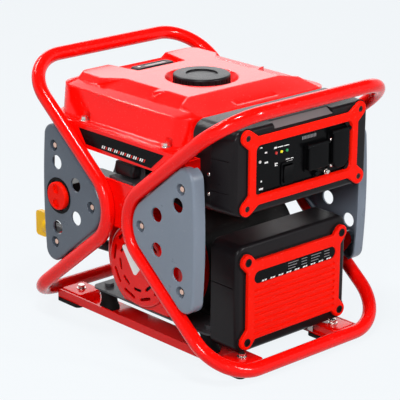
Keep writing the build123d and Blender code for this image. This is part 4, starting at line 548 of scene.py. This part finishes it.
# %% [markdown]
# ## Dressing the solids
# The solids arrive as loose triangles with flat faces. A Weld modifier joins them, an
# Edge Split modifier cuts them again only along true edges, and smooth shading then
# rounds every bend. The mesh data itself stays as it came.

# %% Assign finishes
DRESS = {
    red_paint: """front_frame_loop rear_frame_loop gusset_plates left_tank_rail
        right_tank_rail left_base_rail right_base_rail panel_tabs housing_brackets
        blower_housing recoil_housing""",
    tank_paint: "fuel_tank_upper fuel_tank_lower",
    red_plastic: "control_bezel inverter_cover switch_knob",
    grey_plastic: "front_left_side_panel front_right_side_panel",
    # The rear side panels wear the darker grey as painted shade.
    painted_shade_grey_plastic: "rear_left_side_panel rear_right_side_panel",
    black_plastic: """control_housing control_housing_back inverter_housing fuel_cap
        fuel_gauge starter_handle air_filter spark_plug engine_switch recoil_pulley""",
    black_gloss: """control_panel_face ac_sockets left_socket_lid right_socket_lid
        economy_switch breaker_button""",
    rubber: "rubber_feet vibration_mounts",
    zinc: "frame_bolts ground_terminal",
    copper_zinc: "side_panel_bolts",
    black_steel: "housing_screws",
    cast_metal: "cylinder cylinder_head carburettor flywheel",
    # The parts deep inside the machine get near black as painted shade.
    painted_shade_interior: "crankcase alternator_housing inverter_module",
    grey_paint: "engine_cradle rope_guide oil_filler_tube valve_cover",
    ground_steel: "crankshaft alternator_rotor",
    hot_steel: "muffler",
    copper: "alternator_stator",
    white_plastic: "fuel_strainer",
    yellow_plastic: "oil_dipstick",
    lamp_lens: "status_lamps",
}
SHARP_ANGLE = np.radians(32)
TANK_ANGLE = np.radians(10.5)


def smooth_solid(solid):
    """Joins the loose triangles and splits them again at true edges.

    The tank's top meets its front slope and its shoulders at shallow angles, so its
    edges are kept from a smaller angle on.
    """
    solid.data.polygons.foreach_set("use_smooth", np.ones(len(solid.data.polygons), bool))
    weld = solid.modifiers.new("join_triangles", "WELD")
    weld.merge_threshold = 0.00001
    split = solid.modifiers.new("keep_edges", "EDGE_SPLIT")
    split.split_angle = TANK_ANGLE if solid.name == "fuel_tank_upper" else SHARP_ANGLE


for material, names in DRESS.items():
    for name in names.split():
        solid = nodes[name]
        solid.data.materials.clear()
        solid.data.materials.append(material)
        smooth_solid(solid)
print("dressed", sum(len(v.split()) for v in DRESS.values()), "solids")

# %% [markdown]
# ## Tools for thin pieces
# Films, washers and gaskets are flat shapes with straight sides. Each outline is a
# numpy array of corners in the flat of the piece, and a slab joins a near and a far
# copy of it. Several outlines can make one piece of separate slabs. Outlines are in
# millimetres, as on a drawing, and place_points turns them into metres.

# %% Outlines


def rounded_outline(half_u, half_v, radius, centre=(0.0, 0.0), steps=6):
    """Corners of a rounded rectangle: four quarter circles, walked anticlockwise."""
    angles = np.linspace(0, np.pi / 2, steps)
    quarters = []
    for turn_count, (side_u, side_v) in enumerate(((1, 1), (-1, 1), (-1, -1), (1, -1))):
        turned = angles + turn_count * np.pi / 2
        middle_u = centre[0] + side_u * (half_u - radius)
        middle_v = centre[1] + side_v * (half_v - radius)
        quarters.append(np.stack([middle_u + radius * np.cos(turned),
                                  middle_v + radius * np.sin(turned)], -1))
    return np.concatenate(quarters)


def round_outline(radius, centre=(0.0, 0.0), corners=32, start=0.0):
    """Corners on a circle, spaced evenly; six corners make a hexagon."""
    turned = start + np.arange(corners) * 2 * np.pi / corners
    return np.stack([centre[0] + radius * np.cos(turned), centre[1] + radius * np.sin(turned)],
                    -1)


def hull_outline(circles, corners=48):
    """The outline of a band stretched round circles, each (u, v, radius).

    For each direction it takes the circle that reaches furthest that way, and the
    point where a straight edge square to that direction touches it.
    """
    turned = np.arange(corners) * 2 * np.pi / corners
    ways = np.stack([np.cos(turned), np.sin(turned)], -1)
    circles = np.asarray(circles, float)
    reach = ways @ circles[:, :2].T + circles[:, 2]
    best = np.argmax(reach, axis=1)
    return circles[best, :2] + ways * circles[best, 2:3]


def box_outline(left, right, low, high):
    """The four corners of a plain rectangle."""
    return [(left, low), (right, low), (right, high), (left, high)]


def slanted_dash(start, low, width, lean, height):
    """A printed dash that leans: its top edge is its bottom edge, moved by lean."""
    high = low + height
    return [(start, low), (start + width, low), (start + width + lean, high),
            (start + lean, high)]


print("outline of a band round two circles:", hull_outline([(0, 0, 1), (9, 0, 1)]).shape)

# %% Slabs and rings


def place_points(flat, depth, axis):
    """Puts flat (u, v) corners at one depth along the named axis, in metres."""
    u, v = flat[:, 0], flat[:, 1]
    d = np.full_like(u, depth)
    order = {"x": (d, u, v), "y": (u, d, v), "z": (u, v, d)}[axis]
    return np.stack(order, -1) * MM


def finish_piece(name, vertices, faces, material, body="frame"):
    """Makes a closed mesh with outward faces, gives it a finish and lets it ride."""
    mesh = bpy.data.meshes.new(name)
    mesh.from_pydata(np.asarray(vertices).tolist(), [], faces)
    shell = bmesh.new()
    shell.from_mesh(mesh)
    bmesh.ops.remove_doubles(shell, verts=shell.verts, dist=1e-7)
    bmesh.ops.recalc_face_normals(shell, faces=shell.faces)
    shell.to_mesh(mesh)
    shell.free()
    mesh.materials.append(material)
    piece = add_piece(name, mesh)
    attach(piece, body)
    return piece


def slabs(name, outlines, axis, near, far, material, body="frame"):
    """Straight-sided slabs: each outline is copied at near and far and joined."""
    vertices, faces = [], []
    for outline in outlines:
        outline = np.asarray(outline, float)
        count, first = len(outline), len(vertices)
        vertices.extend(place_points(outline, near, axis).tolist())
        vertices.extend(place_points(outline, far, axis).tolist())
        faces.append(list(range(first, first + count)))
        faces.append(list(range(first + count, first + 2 * count)))
        for corner in range(count):
            following = (corner + 1) % count
            faces.append([first + corner, first + following, first + count + following,
                          first + count + corner])
    return finish_piece(name, vertices, faces, material, body)


def collar(name, inner, outer, axis, near, far, material, body="frame"):
    """A flat ring between two outlines that have the same number of corners."""
    rings = [place_points(np.asarray(flat, float), depth, axis)
             for flat, depth in ((outer, near), (outer, far), (inner, far), (inner, near))]
    count = len(inner)
    faces = []
    for ring in range(4):
        for corner in range(count):
            following = (corner + 1) % count
            after = (ring + 1) % 4
            faces.append([ring * count + corner, ring * count + following,
                          after * count + following, after * count + corner])
    return finish_piece(name, np.concatenate(rings), faces, material, body)


def outer_face(node, corner, axis):
    """Where a solid's box ends, in millimetres: corner 0 is its low end, 1 its high."""
    return round(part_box(node)[corner]["xyz".index(axis)] / MM, 2)


# %% [markdown]
# ## Films on the outside
# The upright tank rail carries a black band with a row of slanting white and red
# dashes. The ribbed cover has a black field in its long slot, and the starter's boss
# carries a white triangle. All of them are bare of words. A film is a slab of a few
# tenths of a millimetre that stands on the face of the solid, so its edge casts a true
# line where a painted pattern would blur.

# %% Band on the tank rail
RAIL_FACE = outer_face("left_tank_rail", 0, "x")
DASH_LOW = 309.2
DASH_HEIGHT = 4.8
DASH_LEAN = -2.4
slabs("rail_band", [[(104, 330), (-92, 330), (-88, 325), (-63, 303.5), (88, 307)]],
      "x", RAIL_FACE - 0.4, RAIL_FACE, black_gloss)
dashes, red_dashes = [], []
for count in range(7):
    start = 50 - 14.6 * count
    for shift in (0.0, 4.4):
        dashes.append(slanted_dash(start - shift, DASH_LOW, -2.6, DASH_LEAN, DASH_HEIGHT))
    red_dashes.append(slanted_dash(start - 9.4, DASH_LOW, -2.0, DASH_LEAN, DASH_HEIGHT))
slabs("rail_band_dashes", dashes, "x", RAIL_FACE - 0.6, RAIL_FACE - 0.3, white_film)
slabs("rail_band_red_dashes", red_dashes, "x", RAIL_FACE - 0.6, RAIL_FACE - 0.3, red_film)
print("rail band:", len(dashes), "white dashes,", len(red_dashes), "red")

# %% Field on the ribbed cover
COVER_FACE = outer_face("inverter_cover", 0, "y")
SLOT_MIDDLE = 147.0
LINE_PITCH = 4.4
LINE_HEIGHT = 1.2
slabs("cover_field", [rounded_outline(87.4, 9.4, 9.3, (0, SLOT_MIDDLE), 10)],
      "y", COVER_FACE + 0.7, COVER_FACE + 2.2, black_gloss)
marks = []
for column in (-16, 34):
    for row in range(3):
        high = SLOT_MIDDLE + 6.4 - LINE_PITCH * row
        low = high - LINE_HEIGHT
        marks.append(box_outline(column, column + 22 - 3 * row, low, high))
        marks.append(box_outline(column + 29, column + 41, low, high))
slabs("cover_field_lines", marks, "y", COVER_FACE + 0.5, COVER_FACE + 0.8, grey_film)
dashes = []
for count in range(9):
    for shift in (0.0, 5.6):
        dashes.append(slanted_dash(17.5 * count - 72 + shift, SLOT_MIDDLE - 9.0, 4.2, 1.2, 2.1))
slabs("cover_dashes", dashes, "y", COVER_FACE + 0.5, COVER_FACE + 0.8, white_film)
print("cover:", len(marks), "lines and", len(dashes), "dashes")

# %% Triangle on the starter
# It points down where the solid boss under it points up, so it is thick enough to reach
# the housing beside the boss.
BOSS_FACE = outer_face("recoil_housing", 0, "x")
slabs("starter_triangle", [hull_outline([(27, 148, 4), (-27, 148, 4), (2, 114, 5)])],
      "x", BOSS_FACE - 0.5, BOSS_FACE + 3.0, white_film)
print("starter's boss stands at x =", BOSS_FACE)

# %% [markdown]
# ## Gaskets
# A black lip shows around the bezel and around the ribbed cover, and black cups sit in
# the cover's ears. Both plates are a rounded rectangle with an ear at each corner, so
# one function gives the outlines of either, grown by the width of its lip.

# %% Gaskets


def eared_slabs(plate, grow):
    """The outlines of an eared plate, grown by a margin: a rectangle and four ears.

    Each ear is a band stretched round two circles, one at its tip and one in the plate.
    """
    (half_x, half_z), (ear_x, ear_z), (root_x, root_z) = plate["half"], plate["ear"], plate["root"]
    middle = plate["middle"]
    outlines = [rounded_outline(half_x + grow, half_z + grow, 8 + grow, (0, middle))]
    for side in (-1, 1):
        for end in (-1, 1):
            outlines.append(hull_outline([
                (side * ear_x, middle + end * ear_z, EAR_RADIUS + grow),
                (side * root_x, middle + end * root_z, plate["root_radius"] + grow)]))
    return outlines


EAR_RADIUS = 12.0
COVER = {"middle": 111.0, "half": (100, 63), "ear": (101.0, 64.0), "root": (90, 52),
         "root_radius": 12}
BEZEL = {"middle": 320.0, "half": (115, 52), "ear": (119, 53.5), "root": (104, 42),
         "root_radius": 13}
BEZEL_BACK = outer_face("control_housing", 0, "y")
slabs("cover_gasket", eared_slabs(COVER, 3.2), "y", -196.9, -196.0, rubber)
collar("bezel_gasket", rounded_outline(112, 49, 10, (0, BEZEL["middle"])),
       rounded_outline(117.2, 54.2, 12, (0, BEZEL["middle"])), "y", BEZEL_BACK - 1.0,
       BEZEL_BACK, rubber)
slabs("bezel_ear_gaskets", eared_slabs(BEZEL, 2.2)[1:], "y", BEZEL_BACK - 0.9, BEZEL_BACK,
      rubber)
print("bezel lies on y =", BEZEL_BACK)

# %% Cups in the cover's ears
for side in (-1, 1):
    for end in (-1, 1):
        ear = (side * COVER["ear"][0], COVER["middle"] + end * COVER["ear"][1])
        label = f"{'left' if side < 0 else 'right'}_{'lower' if end < 0 else 'upper'}"
        collar(f"cover_cup_{label}", round_outline(4.3, ear), round_outline(6.4, ear), "y",
               COVER_FACE - 0.5, COVER_FACE + 0.2, rubber)
        slabs(f"cover_plug_{label}", [round_outline(4.5, ear)], "y", COVER_FACE + 0.1,
              COVER_FACE + 0.8, black_gloss)
print("cover's face is at y =", COVER_FACE)

# %% [markdown]
# ## Bolts, screws and the knob's ring
# The side panels are bolted on in three cups each. A real bolt there stands on a short
# sleeve and a washer, and its hexagon head catches the light, so each is a stack of
# three slabs. Small screws are shallow domes, and a black ring round the knob is painted
# shade, standing for the dark of the knob's recess.

# %% Painted shade ring round the knob, and bolt heads
SIDE_PANEL_FACE = outer_face("front_left_side_panel", 0, "x")
WAIST = 214.5                 # the height where the two loops almost touch
KNOB = (137.0, WAIST)
# A black ring of painted shade round the knob, where its recess lies in shadow.
collar("knob_recess_shade_ring", round_outline(25.6, KNOB, 64), round_outline(29.4, KNOB, 64), "x",
       SIDE_PANEL_FACE - 0.4, SIDE_PANEL_FACE + 0.1, black_gloss)
BOLT_SPOTS = [(y, WAIST + rise) for y, rise in ((147.5, 80), (58.0, 0), (147.5, -80))]
BOLT_SPOTS += [(-y, z) for y, z in BOLT_SPOTS]
# Each slab is its name, radius, corners, first corner's angle, near and far x, finish.
BOLT_STACK = (
    ("sleeves", 4.4, 24, 0.0, 176.5, 179.6, black_steel),
    ("washers", 6.6, 32, 0.0, 179.4, 180.6, zinc),
    ("heads", 4.5, 6, 0.3, 180.5, 184.4, copper_zinc),
)
for side, label in ((-1, "left"), (1, "right")):
    for part, radius, corners, start, near, far, material in BOLT_STACK:
        slabs(f"{label}_bolt_{part}",
              [round_outline(radius, spot, corners, start) for spot in BOLT_SPOTS],
              "x", side * near, side * far, material)
print("bolts a side:", len(BOLT_SPOTS))

# %% Small screws
DOME_RINGS = 6
DOME_CORNERS = 24


def dome(name, centre, radius, rise, axis, base, way, material, body="frame"):
    """A shallow button: rings that shrink by a cosine while they rise by a sine."""
    steps = np.linspace(0, np.pi / 2, DOME_RINGS)
    flat = round_outline(1.0, (0, 0), DOME_CORNERS)
    rings = [place_points(flat * radius * max(np.cos(step), 1e-4) + np.asarray(centre),
                          base + way * rise * np.sin(step), axis) for step in steps]
    vertices = np.concatenate(rings)
    last = (DOME_RINGS - 1) * DOME_CORNERS
    faces = [list(range(DOME_CORNERS)), list(range(last, last + DOME_CORNERS))]
    for ring in range(0, last, DOME_CORNERS):
        for corner in range(DOME_CORNERS):
            following = (corner + 1) % DOME_CORNERS
            faces.append([ring + corner, ring + following, ring + DOME_CORNERS + following,
                          ring + DOME_CORNERS + corner])
    piece = finish_piece(name, vertices, faces, material, body)
    piece.data.polygons.foreach_set("use_smooth", np.ones(len(piece.data.polygons), bool))
    return piece


HOUSING_SIDE = outer_face("control_housing", 1, "x")
for label, z in (("upper", 313.2), ("lower", 283.1)):
    for side, hand in ((-1, "left"), (1, "right")):
        dome(f"{hand}_{label}_side_screw", (-164.0, z), 2.8, 1.4, "x", side * HOUSING_SIDE,
             side, zinc)
print("side screws stand on x =", HOUSING_SIDE)

# %% [markdown]
# ## The panel's marks
# Small bars and dots stand where a real panel has its printing, and a plate of thin
# stripes stands above the sockets. Two bright screws hold the right socket's frame, and
# a bright stud stands beside the earth terminal.

# %% Panel printing
PANEL_FLAT = -208.5           # the flat of the panel, between its raised collars
FILM = 0.25
# Each bar is its left, right, low and high edge.
bars = [(-88, -82.5, 350.4, 352.0), (-77, -72.5, 340.8, 343.0), (-77, -70.5, 325.4, 327.8),
        (-84.6, -82.2, 298.2, 300.6), (-88, -79.5, 286.6, 289.2), (-58, -52.5, 344.0, 346.6),
        (-51, -39, 344.4, 345.8), (-37, -27, 344.2, 345.4), (-56, -54, 317, 322),
        (-53, -50, 320, 321.6), (-53, -50.5, 316.8, 318.2), (-33, -25, 322.4, 323.6),
        (-23, -17, 322.2, 323.4), (-31, -19, 318.6, 319.8), (26, 32, 296.0, 297.4)]
slabs("panel_marks", [box_outline(*bar) for bar in bars], "y", PANEL_FLAT - FILM, PANEL_FLAT,
      white_film)
stripes = [box_outline(0.8 + 3.1 * n, 2.6 + 3.1 * n, 346.4, 351.6) for n in range(10)]
slabs("panel_plate_stripes", stripes, "y", PANEL_FLAT - FILM, PANEL_FLAT, grey_film)
for label, spot in (("upper", (60.5, 335.6)), ("lower", (62.6, 294.5))):
    dome(f"panel_{label}_screw", spot, 3.1, 1.9, "y", -211.0, -1, zinc)
dome("panel_stud", (58.8, 284.4), 4.4, 2.6, "y", PANEL_FLAT, -1, zinc)
print("panel:", len(bars), "marks and", len(stripes), "stripes")

# %% [markdown]
# ## Grip and gauge
# A paler grey strip on the sloping upper edge of the control housing is a painted
# highlight, where that edge catches the light. The fuel gauge has a tinted window with a
# small white mark beside it.

# %% Painted highlight under the upper lip
HIGHLIGHT_HALF = 61.4
# Painted highlight: a paler strip along the housing's sloping upper edge.
slabs("upper_edge_highlight", [[(-211.7, 376.3), (-199.2, 383.7), (-199.5, 384.2), (-212.1, 376.9)]],
      "x", -HIGHLIGHT_HALF, HIGHLIGHT_HALF, edge_highlight_grey)
print("grip is", 2 * HIGHLIGHT_HALF, "mm wide")

# %% Fuel gauge window
GAUGE_TOP = outer_face("fuel_gauge", 1, "z")
slabs("gauge_window", [rounded_outline(22.0, 4.2, 2.6, (6.0, 126.0))], "z", GAUGE_TOP - 1.2,
      GAUGE_TOP - 0.5, gauge_film)
slabs("gauge_pointer", [[(-30, 124.2), (-24.5, 126.0), (-30, 127.8)]], "z", GAUGE_TOP,
      GAUGE_TOP + FILM, white_film)
print("gauge is flush at z =", GAUGE_TOP)
